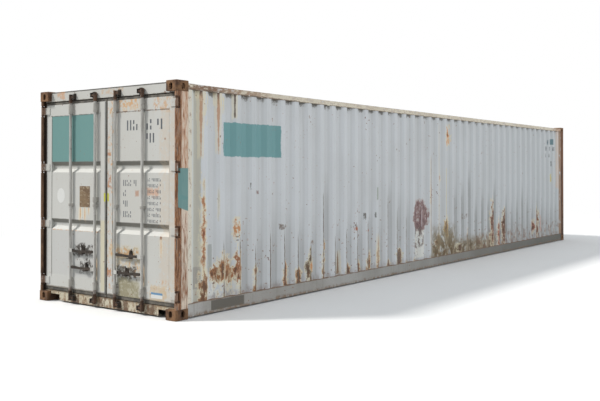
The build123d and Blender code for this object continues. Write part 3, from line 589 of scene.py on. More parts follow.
@dataclass(frozen=True)
class WeatheredPaint:
    """Old matt paint with dirt, runs, rust specks and placed marks, and on ribbed walls painted shade in the
    recesses and under the top rail.
    """

    name: str
    base: Colour
    # The dirt colour, also used for painted shade in the recesses of ribbed walls
    grime_and_shade: Colour
    axis: Axis
    grimy: float = 0.35
    runs: float = 0.3
    specks: float = 0.6
    speck_size: float = 26.0
    foot: Span = (0.17, 0.26)
    foot_rust: float = 0.0
    ribbed: bool = False
    ribs: tuple[RibRust[float], ...] = ()
    marks: tuple[Mark, ...] = ()
    grain: Point = (17.0, 17.0, 7.6)
    lining: Colour | None = None
    outward: Point = (0.0, 0.0, 0.0)

    def turn(self, graph: Graph) -> Socket:
        """Which rib a point lies on, with the share of the way to the next one."""
        return graph.times(graph.x, 1 / RIB_PITCH, -RIB_START / RIB_PITCH)

    def rib_rust(self, graph: Graph) -> RibRust[Socket]:
        """Looks up or draws how each rib has rusted.

        Args:
            graph: the finish's nodes.

        Returns:
            The rust of the rib that a point lies on.
        """
        number = graph.math("FLOOR", self.turn(graph))
        height, bulk, tone = graph.chance(graph.times(graph.math("SIGN", graph.y), 97.0, number))
        line, blot = graph.times(height, 0.7, 0.6), graph.times(tone, 0.4, 0.2)
        found = [line, blot, graph.times(bulk, 0.05), graph.times(bulk, 0.02), tone]
        if self.ribs:
            place = graph.times(number, 1 / RAMP_STOPS, 0.5 / RAMP_STOPS)
            first = graph.steps(place, [(r.line / 3, r.blot / 3, r.half * 9) for r in self.ribs])
            second = graph.steps(place, [(r.off * 5 + 0.5, r.tone, 0.0) for r in self.ribs])
            given = [graph.times(value, factor) for value, factor in zip(first, (3.0, 3.0, 1 / 9))]
            given += [graph.times(second[0], 0.2, -0.1), second[1]]
            later = graph.math("GREATER_THAN", number, len(self.ribs) - 0.5)
            found = [graph.either(later, known, drawn) for known, drawn in zip(given, found)]
        return RibRust(*found)

    def rib_runs(self, side: Side, colour: Socket) -> Socket:
        """Rust lines and blots down the far edges of the outer flats, the lines partly painted shade on the
        turned-away slopes, and painted shade, some of it with dirt, in the recesses and under the top rail.

        Args:
            side: the wall.
            colour: what is there already.

        Returns:
            The colour with the rust.
        """
        graph = side.graph
        recess = graph.ramp(graph.math("ABSOLUTE", graph.y), WALL_FACE - 0.012, WALL_INNER + 0.008)
        deep = graph.ramp(graph.math("ABSOLUTE", graph.y), WALL_INNER + 0.013, WALL_INNER + 0.003)
        head = graph.ramp(side.height, WALL_HEAD - 0.05, WALL_HEAD - 0.015, 0.8)
        # Painted shade: the recessed faces a little darker all over
        colour = graph.mix(graph.times(recess, 0.18), colour, self.grime_and_shade)
        # Painted shadow with dirt just under the top rail, over the recesses
        colour = graph.mix(graph.times(recess, head), colour, RAIL_SHADE_AND_DIRT)

        rust = self.rib_rust(graph)
        off = graph.times(graph.math("FRACT", self.turn(graph)), RIB_PITCH, -RIB_FLAT)
        farther = graph.ramp(graph.x, -1.0, 4.0)
        below = graph.minus(side.height, rust.line)
        # Painted shade with dirt deep in the recesses, growing downwards and stronger towards the far end
        low = graph.times(graph.ramp(below, 0.35, -0.3), deep)
        low = graph.times(low, graph.times(farther, 0.62 if self.ribs else 0.2, 0.24))
        colour = graph.mix(low, colour, shade(56, 54, 50))

        # The rust line down each far-facing slope: rust, and painted shade where the slope turns away
        width = graph.times(side.wobble, graph.times(farther, 0.03, 0.022), 0.006)
        half = graph.times(width, graph.ramp(below, 0.15, -0.35))
        near = graph.minus(graph.minus(graph.apart(graph.plus(off, 0.007), half), half), side.edge)
        line = graph.times(graph.ramp(near, 0.004, -0.003), graph.ramp(below, 0.04, -0.10, 0.95))

        foot = graph.ramp(graph.math("DIVIDE", graph.z, graph.plus(rust.blot, 0.01)), 1.1, 0.6)
        inside = graph.minus(graph.times(rust.half, foot), graph.apart(off, rust.off))
        value = graph.times(foot, 3.0, graph.times(inside, 33.0, side.ragged))
        body = graph.mix(rust.tone, shade(104, 90, 64), shade(184, 126, 76))
        for low, high, share, layer in ((1.5, 2.3, 0.6, RIM), (2.6, 3.0, 0.92, body), (3.2, 3.8, 0.9, HEART)):
            colour = graph.mix(graph.ramp(value, low, high, share), colour, layer)
        return graph.mix(line, colour, RUN_AND_SHADE)

    def build(self) -> bpy.types.Material:
        """Makes the material.

        Returns:
            The material.
        """
        graph = Graph(self.name)
        broad = graph.noise(0.9, detail=3.0)
        fine = graph.noise(60.0, detail=5.0)
        side = Side.of(graph, self.axis, self.grain)
        running = graph.noise(1.0, (34.0, 34.0, 0.9), 4.0, 0.6, 1.3)
        colour = graph.mix(graph.ramp(broad, 0.3, 0.75, self.grimy), self.base, self.grime_and_shade)
        colour = graph.mix(graph.ramp(fine, 0.45, 0.8, self.grimy * 0.5), colour, self.grime_and_shade)
        colour = graph.mix(graph.ramp(running, 0.52, 0.78, self.runs), colour, self.grime_and_shade)
        if self.ribbed:
            colour = self.rib_runs(side, colour)
        if self.foot_rust:
            height = graph.minus(graph.z, graph.times(running, 0.16))
            foot = graph.ramp(height, self.foot[1] - 0.08, self.foot[0] - 0.08, self.foot_rust)
            colour = graph.mix(graph.times(foot, graph.ramp(side.broken, 0.35, 0.6)), colour, BROWN_RUST)
        for mark in self.marks:
            colour = mark.lay(side, colour)
        dots = graph.noise(self.speck_size, detail=2.0, roughness=0.5, shift=7.1)
        specks = graph.times(graph.noise(2.2, detail=3.0, shift=5.0), 0.22, dots)
        if self.ribbed:
            specks = graph.plus(specks, graph.ramp(graph.z, 1.3, 0.2, 0.055))
        core = graph.ramp(specks, 0.85, 0.89, self.specks)
        colour = graph.mix(graph.ramp(specks, 0.80, 0.87, self.specks * 0.6), colour, ORANGE_RUST)
        colour = graph.mix(core, colour, DARK_RUST)
        if self.lining:
            scuffed = graph.mix(graph.ramp(side.broken, 0.56, 0.68, 0.5), self.lining, self.grime_and_shade)
            scuffed = graph.mix(graph.ramp(specks, 0.86, 0.9, 0.6), scuffed, BROWN_RUST)
            colour = graph.mix(graph.turned_to(self.outward), scuffed, colour)
        relief = graph.plus(graph.times(fine, 0.3), graph.times(core, 0.7))
        return graph.finish(colour, graph.times(side.torn, 0.25, 0.45), relief, 0.0008)


@dataclass(frozen=True)
class RustedSteel:
    """Steel whose paint has mostly gone: remains of paint over orange and dark rust."""

    name: str
    remains: Colour
    remaining: float
    middle: Colour = BROWN_RUST
    dark: Colour = DARK_RUST
    grain: Point = (22.0, 22.0, 2.6)
    bright: float = 0.45
    marks: tuple[Mark, ...] = ()

    def build(self) -> bpy.types.Material:
        """Makes the material.

        Returns:
            The material.
        """
        graph = Graph(self.name)
        running = graph.noise(1.0, self.grain, 6.0, 0.68)
        blot = graph.noise(1.0, tuple(g * 0.42 for g in self.grain), 5.0, 0.65, 4.2)
        fine = graph.noise(130.0, detail=6.0, roughness=0.75)
        side = Side.of(graph, Axis.X, tuple(2.2 * g for g in self.grain), 13.0)
        colour = graph.mix(graph.ramp(blot, 0.36, 0.62), self.dark, self.middle)
        colour = graph.mix(graph.ramp(fine, 0.5, 0.72, self.bright), colour, ORANGE_RUST)
        cover = graph.times(running, 0.6, graph.times(side.torn, 0.4))
        edge = 0.72 - 0.42 * self.remaining
        kept = graph.ramp(cover, edge, edge + 0.07)
        colour = graph.mix(graph.times(kept, 0.9), colour, self.remains)
        for mark in self.marks:
            colour = mark.lay(side, colour)
        relief = graph.plus(graph.times(fine, 0.5), graph.times(kept, 0.5))
        return graph.finish(colour, graph.minus(0.88, graph.times(kept, 0.25)), relief, 0.0015)


@dataclass(frozen=True)
class Galvanised:
    """Dull zinc with dark smears, a little rust and rusty ends."""

    name: str
    base: Colour = paint(208, 207, 202)
    dull: Colour = paint(164, 162, 156)
    rusty: float = 0.3
    ends: Span | None = None
    ends_rusty: float = 0.9

    def build(self) -> bpy.types.Material:
        """Makes the material.

        Returns:
            The material.
        """
        graph = Graph(self.name)
        spangle = graph.add("ShaderNodeTexVoronoi", {0: graph.place, "Scale": 90.0}).outputs[0]
        smear = graph.noise(1.0, (26.0, 26.0, 3.0), 6.0, 0.65)
        fine = graph.noise(150.0, detail=4.0)
        colour = graph.mix(graph.ramp(smear, 0.38, 0.7), self.base, self.dull)
        colour = graph.mix(graph.ramp(spangle, 0.2, 0.8, 0.18), colour, self.dull)
        spot = graph.noise(14.0, detail=6.0, roughness=0.7, shift=8.0)
        rust = graph.ramp(spot, 0.58, 0.66, self.rusty)
        if self.ends:
            low, high = self.ends
            height = graph.plus(graph.z, graph.spread(spot, 0.3))
            below = graph.ramp(height, low + 0.10, low - 0.03, self.ends_rusty)
            above = graph.ramp(height, high - 0.03, high + 0.06, self.ends_rusty)
            rust = graph.math("MAXIMUM", rust, graph.math("MAXIMUM", below, above))
        colour = graph.mix(rust, colour, graph.mix(graph.ramp(fine, 0.42, 0.6), DARK_RUST, BROWN_RUST))
        metallic = graph.minus(0.12, graph.times(rust, 0.12))
        return graph.finish(colour, graph.plus(graph.times(smear, 0.3), 0.4), fine, 0.0005, metallic)


@dataclass(frozen=True)
class Rubber:
    """Grey-black rubber with dust."""

    name: str
    base: Colour = paint(70, 67, 62)
    dust: Colour = paint(128, 122, 112)

    def build(self) -> bpy.types.Material:
        """Makes the material.

        Returns:
            The material.
        """
        graph = Graph(self.name)
        cloud = graph.noise(9.0, detail=6.0, roughness=0.7)
        fine = graph.noise(220.0, detail=3.0)
        colour = graph.mix(graph.ramp(cloud, 0.38, 0.62, 0.7), self.base, self.dust)
        return graph.finish(colour, graph.plus(graph.times(cloud, 0.2), 0.6), fine, 0.0004)


@dataclass(frozen=True)
class Plywood:
    """Worn floor plywood with grain along the box and dark scuffs."""

    name: str
    light: Colour = paint(150, 116, 84)
    dark: Colour = paint(96, 70, 50)

    def build(self) -> bpy.types.Material:
        """Makes the material.

        Returns:
            The material.
        """
        graph = Graph(self.name)
        grain = graph.noise(1.0, (3.0, 60.0, 60.0), 6.0, 0.65)
        scuff = graph.noise(1.0, (1.4, 9.0, 9.0), 6.0, 0.7, 3.0)
        plies = graph.math("FRACT", graph.times(graph.z, 500.0))
        colour = graph.mix(graph.ramp(grain, 0.35, 0.68), self.light, self.dark)
        colour = graph.mix(graph.ramp(plies, 0.45, 0.55, 0.12), colour, self.dark)
        colour = graph.mix(graph.ramp(scuff, 0.55, 0.68, 0.6), colour, paint(60, 50, 44))
        return graph.finish(colour, graph.plus(graph.times(scuff, 0.3), 0.5), grain, 0.0008)


# The ribs of the seen wall from its near end, one by one before they run together: millimetres, then
# the tone in per cent
RIGHT_RIBS = tuple(
    RibRust(*metres(row[:4]), row[4] / 100)
    for row in (
        (0, 0, 0, 0, 50), (810, 240, 20, 0, 40), (850, 240, 20, 0, 40), (720, 620, 22, 0, 60),
        (870, 0, 0, 0, 50), (870, 554, 50, 40, 95), (810, 455, 60, 22, 60), (720, 697, 34, -22, 0),
        (1335, 653, 26, 12, 35), (740, 0, 0, 0, 50), (810, 389, 54, 48, 50), (800, 411, 36, 50, 55),
        (917, 433, 60, 30, 50), (700, 697, 40, 20, 70), (1250, 323, 60, 48, 45), (1020, 500, 68, 75, 30),
        (920, 260, 30, 20, 40), (660, 280, 30, 0, 40), (0, 0, 0, 0, 50), (400, 240, 24, 0, 40),
        (420, 240, 24, 0, 40), (600, 300, 30, 0, 40), (1170, 280, 40, 0, 30), (1200, 310, 70, -40, 25),
        (1510, 670, 56, 0, 40), (900, 300, 30, 20, 40),
    )
)
# The long wall that the camera sees: its near corner, the runs from the top, then blots from near to far
RIGHT_WALL_MARKS = marks(
    shade,
    (2000, 60000, -40000, 40000, 174, 178, 180, 80, 30, 6000),
    (3000, 60000, -40000, 500, 150, 152, 152, 60, 30, 500),
    (-5930, -5862, 100, 2600, 202, 196, 180, 90, 4, 3),
    (-5930, -5862, 100, 2600, 140, 108, 84, 80, 10, 10, 22),
    (-5862, -5812, 100, 2600, 196, 198, 190, 70, 6, 6),
    (-5812, -5715, 100, 2600, 166, 163, 150, 85, 4, 4),
    (-5825, -5715, 307, 550, 146, 142, 136, 90, 6, 6),
    (-5605, -5512, 469, 784, 150, 153, 150, 85, 6, 5),
    (-5600, -5410, 200, 415, 206, 207, 204, 80, 50, 30, 60),
    (-5358, -4310, 1774, 2170, 97, 141, 143, 96, 14, 5),
    (Streak, -5712, 2400, 2620, 36, 80, 54, 40, 92, -60, 60),
    (Streak, -5713, 1750, 2500, 24, 172, 132, 104, 85, -140, 40),
    (-5700, -5600, 2100, 2600, 204, 196, 170, 70, 50, 30, 40),
    (Streak, -5436, 2360, 2620, 32, 84, 52, 40, 92, -80, 60),
    (Streak, -5434, 1820, 2450, 22, 174, 130, 102, 85, -140, 40),
    (-5420, -5330, 2280, 2600, 206, 194, 156, 70, 50, 30, 40),
    (Streak, -5158, 2210, 2620, 20, 74, 58, 48, 90, -80, 50),
    (Streak, -5430, 1080, 1440, 9, 150, 140, 112, 60),
    (Streak, -5672, 200, 1550, 16, 104, 78, 56, 90, 100, 40),
    (Blot, -5702, -5654, 420, 1140, 160, 110, 74, 24, 104, 58, 42),
    (Blot, -5730, -5606, 100, 470, 132, 92, 60, 30, 84, 58, 40),
    (-5740, -5580, 200, 1200, 206, 198, 172, 60, 30, 30, 30),
    (Blot, -5530, -5350, 350, 530, 142, 94, 56, 30, 84, 55, 38),
    (Blot, -5420, -5325, 380, 630, 138, 92, 54, 30, 84, 58, 42),
    (Blot, -5300, -5180, 310, 560, 150, 104, 66, 30, 104, 72, 48),
    (Blot, -5175, -5050, 290, 610, 140, 88, 52, 30, 84, 55, 38),
    (-5500, -5050, 180, 420, 208, 202, 180, 60, 80, 60, 45),
    (-5480, -5070, 180, 450, 140, 104, 70, 70, 60, 50, 20),
    (Blot, -5172, -5068, 850, 1020, 176, 122, 78, 30, 116, 74, 48),
    (-5140, -5100, 833, 846, 84, 78, 70, 90, 3, 4),
    (-5140, -5100, 794, 806, 84, 78, 70, 90, 3, 4),
    (-4885, -4870, 1390, 1465, 86, 82, 76, 85, 12, 5, 60),
    (-4845, -4800, 1450, 1475, 96, 92, 84, 80, 20, 5, 50, 30),
    (-4780, -4700, 1333, 1369, 104, 62, 50, 85, 20, 8, 75),
    (-4320, -4180, 880, 930, 96, 78, 64, 80, 30, 8, 60),
    (Blot, -3773, -3710, 190, 390, 92, 74, 54, 20),
    (-3680, -3590, 653, 686, 112, 86, 64, 80, 20, 8, 70),
    (Blot, -3680, -3617, 290, 410, 190, 128, 76, 20, 140, 88, 56),
    (Blot, -3396, -3330, 543, 653, 150, 104, 68, 20),
    (Streak, -3020, 190, 540, 30, 112, 86, 62, 90, 120),
    (-2720, -2577, 741, 829, 100, 80, 66, 80, 60, 8, 45),
    (-2390, -2350, 900, 990, 84, 80, 72, 85, 20, 8, 60),
    (-2660, -2560, 760, 800, 150, 84, 52, 85, 20, 8, 70),
    (Blot, -2235, -2174, 200, 380, 140, 98, 64, 25),
    (-2100, -2060, 910, 1000, 84, 86, 78, 85, 20, 8, 60),
    (-2300, -2220, 720, 760, 150, 84, 62, 85, 20, 8, 70),
    (-2045, -1990, 1181, 1368, 140, 146, 136, 80, 20, 10),
    (Streak, -1992, 270, 700, 44, 158, 110, 88, 85, 40),
    (Blot, -950, -440, 630, 1120, 130, 106, 104, 30, 96, 74, 74, 168, 152, 148),
    (Streak, -680, 720, 1020, 22, 186, 176, 182, 60, 0, 0),
    (-900, -550, 200, 640, 208, 208, 202, 80, 50, 20, 80),
    (-860, -600, 360, 720, 84, 66, 62, 85, 60, 20, 42),
    (Streak, -350, 380, 1860, 26, 150, 136, 128, 70, 0, 25),
    (Streak, -350, 1080, 1390, 30, 140, 92, 72, 90),
    (Streak, -41, 450, 2430, 30, 176, 160, 152, 75, 40, 20),
    (Streak, -41, 450, 1200, 16, 112, 90, 78, 80, 60),
    (Blot, -152, 16, 307, 523, 128, 96, 70),
    (184, 244, 630, 1640, 190, 184, 158, 70, 20, 15),
    (Blot, 136, 316, 415, 775, 166, 138, 94, 30, 92, 74, 56),
    (-310, 2300, 100, 380, 138, 126, 100, 80, 60, 120, 80),
    (-260, 600, 100, 620, 116, 102, 74, 85, 60, 140, 66),
    (-220, 2100, 100, 360, 92, 76, 56, 85, 60, 120, 50),
    (Blot, 652, 808, 190, 307, 90, 68, 50),
    (832, 1072, 757, 847, 104, 84, 72, 85, 70, 10, 40),
    (Blot, 208, 340, 2050, 2340, 196, 140, 88, 40, 110, 70, 48),
    (-44, 28, 2240, 2260, 100, 84, 74, 85, 20, 6, 70),
    (Blot, -30, 30, 1420, 1530, 160, 108, 72, 25),
    (1500, 5900, 100, 450, 124, 100, 86, 75, 50, 160, 40),
    (Blot, 2050, 2200, 190, 950, 128, 86, 68),
    (Blot, 2360, 2500, 190, 620, 156, 96, 76),
    (Blot, 2600, 2740, 190, 800, 110, 76, 58),
    (Blot, 4120, 4290, 300, 560, 140, 92, 78),
    (Blot, 4390, 4540, 150, 800, 112, 66, 50),
    (4600, 4750, 300, 630, 176, 150, 140, 80, 60, 30),
    (5220, 5373, 1350, 1530, 184, 170, 104, 85, 20, 10, 85),
    (5650, 5870, 1200, 2600, 196, 180, 168, 75, 30, 20, 80),
    (5830, 6040, 100, 2600, 142, 112, 88, 85, 40, 20, 85),
    (5270, 5443, 2185, 2310, 66, 104, 112, 85, 6, 5, 85),
    (Dashes, 5100, 5300, 2179, 2287, 50, 52, 84, 92),
    (Dashes, 5040, 5620, 2044, 2138, 72, 52, 58, 62),
    (Dashes, 5040, 5200, 1900, 1980, 50, 52, 58, 62),
    (Dashes, 5248, 5380, 1700, 1812, 50, 52, 58, 62),
)
LEFT_WALL_MARKS = marks(
    paint,
    (-5930, -5862, 100, 2600, 214, 208, 192, 85, 4, 3),
    (4310, 5360, 1774, 2170, 112, 160, 160, 96, 14, 5),
    (Streak, -5430, 2100, 2620, 26, 112, 72, 46, 85, -100),
    (Streak, 1520, 2200, 2620, 20, 112, 72, 46, 80, -100),
    (Blot, -3200, -2900, 190, 500, 112, 72, 46),
    (Blot, 1600, 1840, 800, 1100, 150, 104, 78),
    (Blot, 3100, 3220, 190, 600, 112, 72, 46),
    (-1600, -400, 180, 420, 138, 126, 100, 80, 100, 40, 60),
    (5620, 5920, 100, 2600, 196, 176, 156, 60, 60, 30, 80),
)
FRONT_WALL_MARKS = marks(
    paint,
    (Blot, -900, -720, 190, 550, 112, 72, 46),
    (Blot, 660, 940, 190, 340, 112, 72, 46),
    (Streak, 350, 1900, 2600, 24, 112, 72, 46, 80, -80),
    (Streak, -480, 300, 1400, 12, 112, 72, 46, 70),
)
# Colours of the door end's marks, as they show
WARM = (208, 160, 112)
# Painted shade for the troughs' downward-facing upper slopes, also the colour of dark joint lines
SHADE_AND_DIRT = (116, 114, 106)
SMEAR = (66, 60, 54)
DOOR_MARKS = marks(
    paint,
    (222, 1049, 1711, 2281, 101, 147, 144, 97, 2, 2),
    (110, 1049, 330, 884, 198, 198, 196, 60, 8, 10),
    (18, 108, 200, 1030, 212, 204, 176, 80, 20, 20),
    # Painted shade on the troughs' upper slopes, which face down
    *((x, x + 939, top - 45, top + 5, *SHADE_AND_DIRT, 92, 3, 6) for x in (110, -1049) for top in (1717, 1017)),
    *((x, x + 10, 300, 2300, *SHADE_AND_DIRT, 60, 3, 3) for x in (1043, 103, -113, -1053)),
    (-1200, 1200, 100, 190, 120, 108, 92, 80, 8, 10),
    (110, 1049, 880, 893, *WARM, 60, 10, 4, 50),
    # Painted shadow of the gap between the doors, on the left leaf's inner edge
    (18, 32, 180, 2420, 92, 94, 96, 85, 2, 3),
    (250, 610, 590, 720, *SMEAR, 90, 50, 12, 60),
    (350, 550, 610, 690, *SMEAR, 90, 20, 12, 80),
    (400, 480, 690, 745, *SMEAR, 90, 20, 10, 80),
    (220, 490, 390, 520, *SMEAR, 90, 50, 12, 60),
    (300, 420, 420, 560, *SMEAR, 90, 50, 12, 55),
    (-550, -290, 590, 740, *SMEAR, 90, 50, 12, 55),
    (-560, -40, 600, 750, 214, 196, 160, 70, 40, 30, 70),
    (-550, -50, 630, 720, *WARM, 85, 30, 20, 45),
    (-620, -140, 400, 620, 212, 190, 150, 60, 50, 30, 50),
    (-580, -400, 400, 560, *WARM, 80, 40, 20, 35),
    (-520, -180, 380, 520, *SMEAR, 90, 50, 12, 65),
    (-560, -200, 180, 430, 174, 168, 142, 80, 30, 30, 100, -12),
    (-560, -220, 200, 410, 146, 138, 110, 80, 30, 30, 60, -12),
    (-80, -18, 1780, 1820, 176, 108, 58, 80, 20, 10, 80),
    (-80, -18, 1410, 1580, 176, 108, 58, 80, 30, 12, 60),
    (-80, -18, 390, 480, 176, 108, 58, 85, 30, 12, 60),
    (-550, -500, 1330, 1380, 176, 108, 58, 60, 20, 12),
    (-860, -700, 1330, 1410, 210, 150, 108, 60, 40, 20, 85),
    (-937, -903, 855, 890, 122, 70, 40, 95, 6, 6),
    (Streak, -920, 690, 870, 12, 206, 156, 100, 80),
    (-990, -970, 1950, 1970, 130, 84, 52, 90, 4, 5),
    (-600, -80, 2290, 2430, 216, 186, 146, 70, 40, 30, 55),
    (-580, -100, 2330, 2420, *WARM, 85, 30, 20, 40),
    (-1120, -800, 2270, 2430, *WARM, 80, 40, 30, 35),
    (-1149, -620, 180, 420, *WARM, 80, 40, 30, 22),
    (-120, -18, 200, 2420, *WARM, 80, 20, 10, 22),
    (-1149, -110, 2279, 2291, 120, 84, 60, 85, 8, 3, 60),
    (110, 1149, 2279, 2289, *SHADE_AND_DIRT, 60, 6, 3, 60),
    (-1149, -900, 200, 2420, 210, 186, 156, 30, 50, 20, 70),
    (-1000, -750, 170, 340, 206, 180, 142, 60, 50, 20, 80),
    (Streak, 487, 1020, 1190, 18, *WARM, 90, 0, 40),
    (Streak, 402, 1040, 1190, 14, *WARM, 80, 0, 40),
    (Streak, 330, 1100, 1190, 14, *WARM, 70, 0, 30),
    (Streak, 180, 330, 620, 12, *WARM, 60),
    (Streak, -640, 330, 600, 14, *WARM, 60),
)
HEADER_MARKS = marks(
    paint,
    (-1300, 1300, 2566, 2700, 64, 60, 54, 90, 2, 2),
    (800, 950, 2500, 2570, 206, 152, 104, 70, 30, 12, 70),
    (-300, 100, 2500, 2570, 206, 170, 130, 60, 30, 12, 40),
    # The header's lower edge above the door tops, darkened as painted shade
    (-1300, 1300, 2000, 2468, 104, 92, 78, 80, 8, 6),
)
# Spots on the sill beside each rod's keeper, on the side away from the key lamp: rust and painted shadow
# together; start and width in millimetres
SILL_RUST_AND_SHADE = ((500, 120), (20, 120), (-360, 160), (-840, 160))
SILL_MARKS = marks(
    paint,
    (-1300, 1300, 0, 45, 112, 72, 46, 75, 30, 14, 60),
    (-1300, 1300, 118, 200, 104, 92, 78, 80, 6, 6),
    (-1300, 1300, 0, 140, 158, 128, 94, 80, 30, 10, 40),
    (-1300, 1300, 0, 140, 84, 64, 48, 85, 20, 10, 16),
    *((x, x + width, 20, 130, 96, 70, 50, 85, 50, 20, 70) for x, width in SILL_RUST_AND_SHADE),
)
RIGHT_POST_MARKS = (
    *marks(
        shade,
        (-6018, -5900, -1000, 3000, 206, 192, 176, 90, 6, 6),
        (-6018, -5900, 1600, 3000, 180, 130, 94, 90, 30, 250, 62),
        (-6018, -5900, -1000, 750, 128, 108, 90, 85, 30, 250, 60),
        (-6018, -5900, -1000, 3000, 150, 98, 68, 85, 20, 20, 36),
        (-6018, -5900, -1000, 3000, 88, 62, 48, 85, 20, 20, 16),
    ),
    *marks(
        paint,
        (-6200, -6018, -1000, 3000, 118, 82, 60, 90, 8, 6),
        (-6200, -6018, -1000, 3000, 184, 132, 92, 85, 20, 10, 50),
        (-6200, -6018, -1000, 3000, 206, 190, 178, 85, 20, 10, 26),
        (-6200, -6018, -1000, 3000, 66, 48, 38, 85, 10, 10, 20),
    ),
    *marks(
        shade,
        (-6067, -5860, 1300, 1639, 100, 137, 136, 95, 6, 5),
        (-6067, -5860, -600, -450, 100, 137, 136, 95, 6, 5, 100, 30),
    ),
)
LEFT_POST_MARKS = marks(
    paint,
    (-6200, -6060, -1000, 3000, 128, 98, 74, 85, 20, 20, 60),
    # The post's recessed part beside the leaf: painted shade over dark rust
    (-6060, -5900, -1000, 3000, 60, 50, 42, 85, 20, 20, 85),
)
TOP_RAIL_MARKS = marks(
    shade,
    (-7000, -4600, -1000, 4000, 132, 98, 72, 85, 100, 350, 60),
    (-7000, -5300, -1000, 4000, 108, 80, 60, 90, 100, 150, 75),
    # Dark underside at the near end: rust and painted shade under the rail
    (-7000, -4000, -1000, 2508, 70, 56, 46, 90, 10, 6),
    (5500, 7000, -1000, 4000, 152, 110, 78, 85, 100, 250, 70),
    # The rail's lower edge all along: rust and painted shade
    (-7000, 7000, 2000, 2503, 96, 82, 66, 85, 8, 4, 85),
    (-7000, 7000, 2500, 2620, 156, 126, 98, 75, 30, 10, 36),
    (-7000, 7000, 2500, 2620, 196, 200, 200, 70, 30, 10, 25),
)
BOTTOM_RAIL_MARKS = marks(
    shade,
    (0, 60000, -40000, 40000, 74, 74, 68, 95, 100, 6000),
    (-7000, 7000, 156, 300, 104, 80, 60, 85, 8, 6, 85),
    (-5553, -5000, 40, 151, 82, 78, 70, 90, 6, 4),
    (-7000, 7000, 0, 40, 110, 88, 66, 80, 30, 20, 60),
)
BLADE_MARKS = marks(
    paint,
    (1165, 1300, 0, 2600, 124, 88, 62, 90, 10, 8, 85),
    (-1300, -1165, 0, 2600, 124, 88, 62, 90, 10, 8, 85),
)

DOOR_WHITE = paint(208, 208, 204)
DOOR_GRIME = paint(184, 178, 164)
WALL_LINING = paint(192, 194, 190)
FINE_GRAIN = (27.0, 27.0, 20.0)
LUMPS = (24.0, 24.0, 18.0)
RECIPES = (
    WeatheredPaint(
        "right_wall", shade(194, 197, 200), shade(158, 158, 154), Axis.X, 0.25, 0.25, 0.7, foot_rust=0.4,
        ribbed=True, ribs=RIGHT_RIBS, marks=RIGHT_WALL_MARKS, lining=WALL_LINING, outward=(0.0, -1.0, 0.0),
    ),
    WeatheredPaint(
        "left_wall", paint(210, 213, 215), paint(176, 176, 172), Axis.X, 0.30, 0.25, 0.7, foot_rust=0.4,
        ribbed=True, marks=LEFT_WALL_MARKS, lining=WALL_LINING, outward=(0.0, 1.0, 0.0),
    ),
    WeatheredPaint(
        "front_wall", paint(206, 209, 211), paint(170, 170, 166), Axis.Y, 0.35, 0.35, 0.7, foot_rust=0.4,
        marks=FRONT_WALL_MARKS, lining=WALL_LINING, outward=(1.0, 0.0, 0.0),
    ),
    WeatheredPaint(
        "door", DOOR_WHITE, DOOR_GRIME, Axis.Y, 0.22, 0.12, 0.75, 30.0, marks=DOOR_MARKS, grain=FINE_GRAIN,
        lining=paint(196, 197, 192), outward=(-1.0, 0.0, 0.0),
    ),
    WeatheredPaint(
        "header", DOOR_WHITE, DOOR_GRIME, Axis.Y, 0.3, 0.2, 0.8, marks=HEADER_MARKS, grain=FINE_GRAIN
    ),
    WeatheredPaint(
        "sill", paint(212, 205, 184), paint(168, 150, 122), Axis.Y, 0.5, 0.5, 0.5, 24.0, marks=SILL_MARKS,
        grain=(30.0, 30.0, 14.0),
    ),
    WeatheredPaint(
        "blades", paint(206, 205, 200), DOOR_GRIME, Axis.Y, 0.4, 0.2, 0.9, 30.0, marks=BLADE_MARKS
    ),
    WeatheredPaint(
        "bottom_rail", shade(168, 167, 164), shade(112, 104, 94), Axis.X, 0.55, 0.45, 0.9, 20.0,
        marks=BOTTOM_RAIL_MARKS,
    ),
    WeatheredPaint(
        "top_rail", shade(208, 201, 184), shade(168, 154, 134), Axis.X, 0.5, 0.35, 0.7, 20.0,
        marks=TOP_RAIL_MARKS, grain=(7.0, 22.0, 22.0),
    ),
    WeatheredPaint("roof", paint(196, 193, 184), paint(146, 134, 118), Axis.X, 0.6, 0.0, 1.0, 9.0),
    RustedSteel(
        "right_post", shade(186, 158, 136), 0.4, shade(150, 108, 80), shade(92, 66, 50),
        marks=RIGHT_POST_MARKS,
    ),
    RustedSteel(
        "left_post", paint(150, 132, 112), 0.2, paint(100, 74, 56), paint(54, 42, 34), marks=LEFT_POST_MARKS
    ),
    RustedSteel("front_post", paint(196, 176, 150), 0.34, paint(132, 92, 66)),
    RustedSteel("casting", paint(168, 142, 110), 0.14, paint(136, 102, 72), paint(72, 52, 40), LUMPS),
    RustedSteel("forging", paint(150, 140, 124), 0.05, paint(64, 56, 49), paint(38, 35, 32), LUMPS, 0.12),
    RustedSteel("cam", paint(176, 168, 156), 0.30, paint(100, 76, 60), paint(48, 39, 33), LUMPS, 0.3),
    RustedSteel("lug", paint(150, 130, 110), 0.12, paint(96, 68, 48), paint(52, 38, 30), LUMPS),
    RustedSteel("underframe", paint(74, 70, 64), 0.5, paint(74, 56, 44), paint(40, 36, 32), LUMPS),
    RustedSteel(
        "plate", paint(170, 154, 130), 0.45, paint(138, 118, 92), paint(112, 92, 72), (30.0, 12.0, 30.0)
    ),
    Galvanised("rod", ends=(0.17, 2.42)),
    Galvanised("bracket", paint(192, 190, 184), paint(158, 154, 146), 0.8),
    Rubber("rubber"),
    Plywood("plywood"),
    WeatheredPaint("label_white", paint(228, 228, 225), paint(204, 203, 198), Axis.Y, 0.3, 0.1, 0.0),
    WeatheredPaint("label_yellow", paint(204, 204, 66), paint(172, 166, 66), Axis.Y, 0.4, 0.2, 0.1),
    WeatheredPaint("label_blue", paint(100, 146, 184), paint(128, 148, 158), Axis.Y, 0.4, 0.2, 0.2),
    WeatheredPaint("stencil", paint(76, 80, 86), paint(118, 122, 126), Axis.Y, 0.5, 0.3, 0.2, 60.0),
)
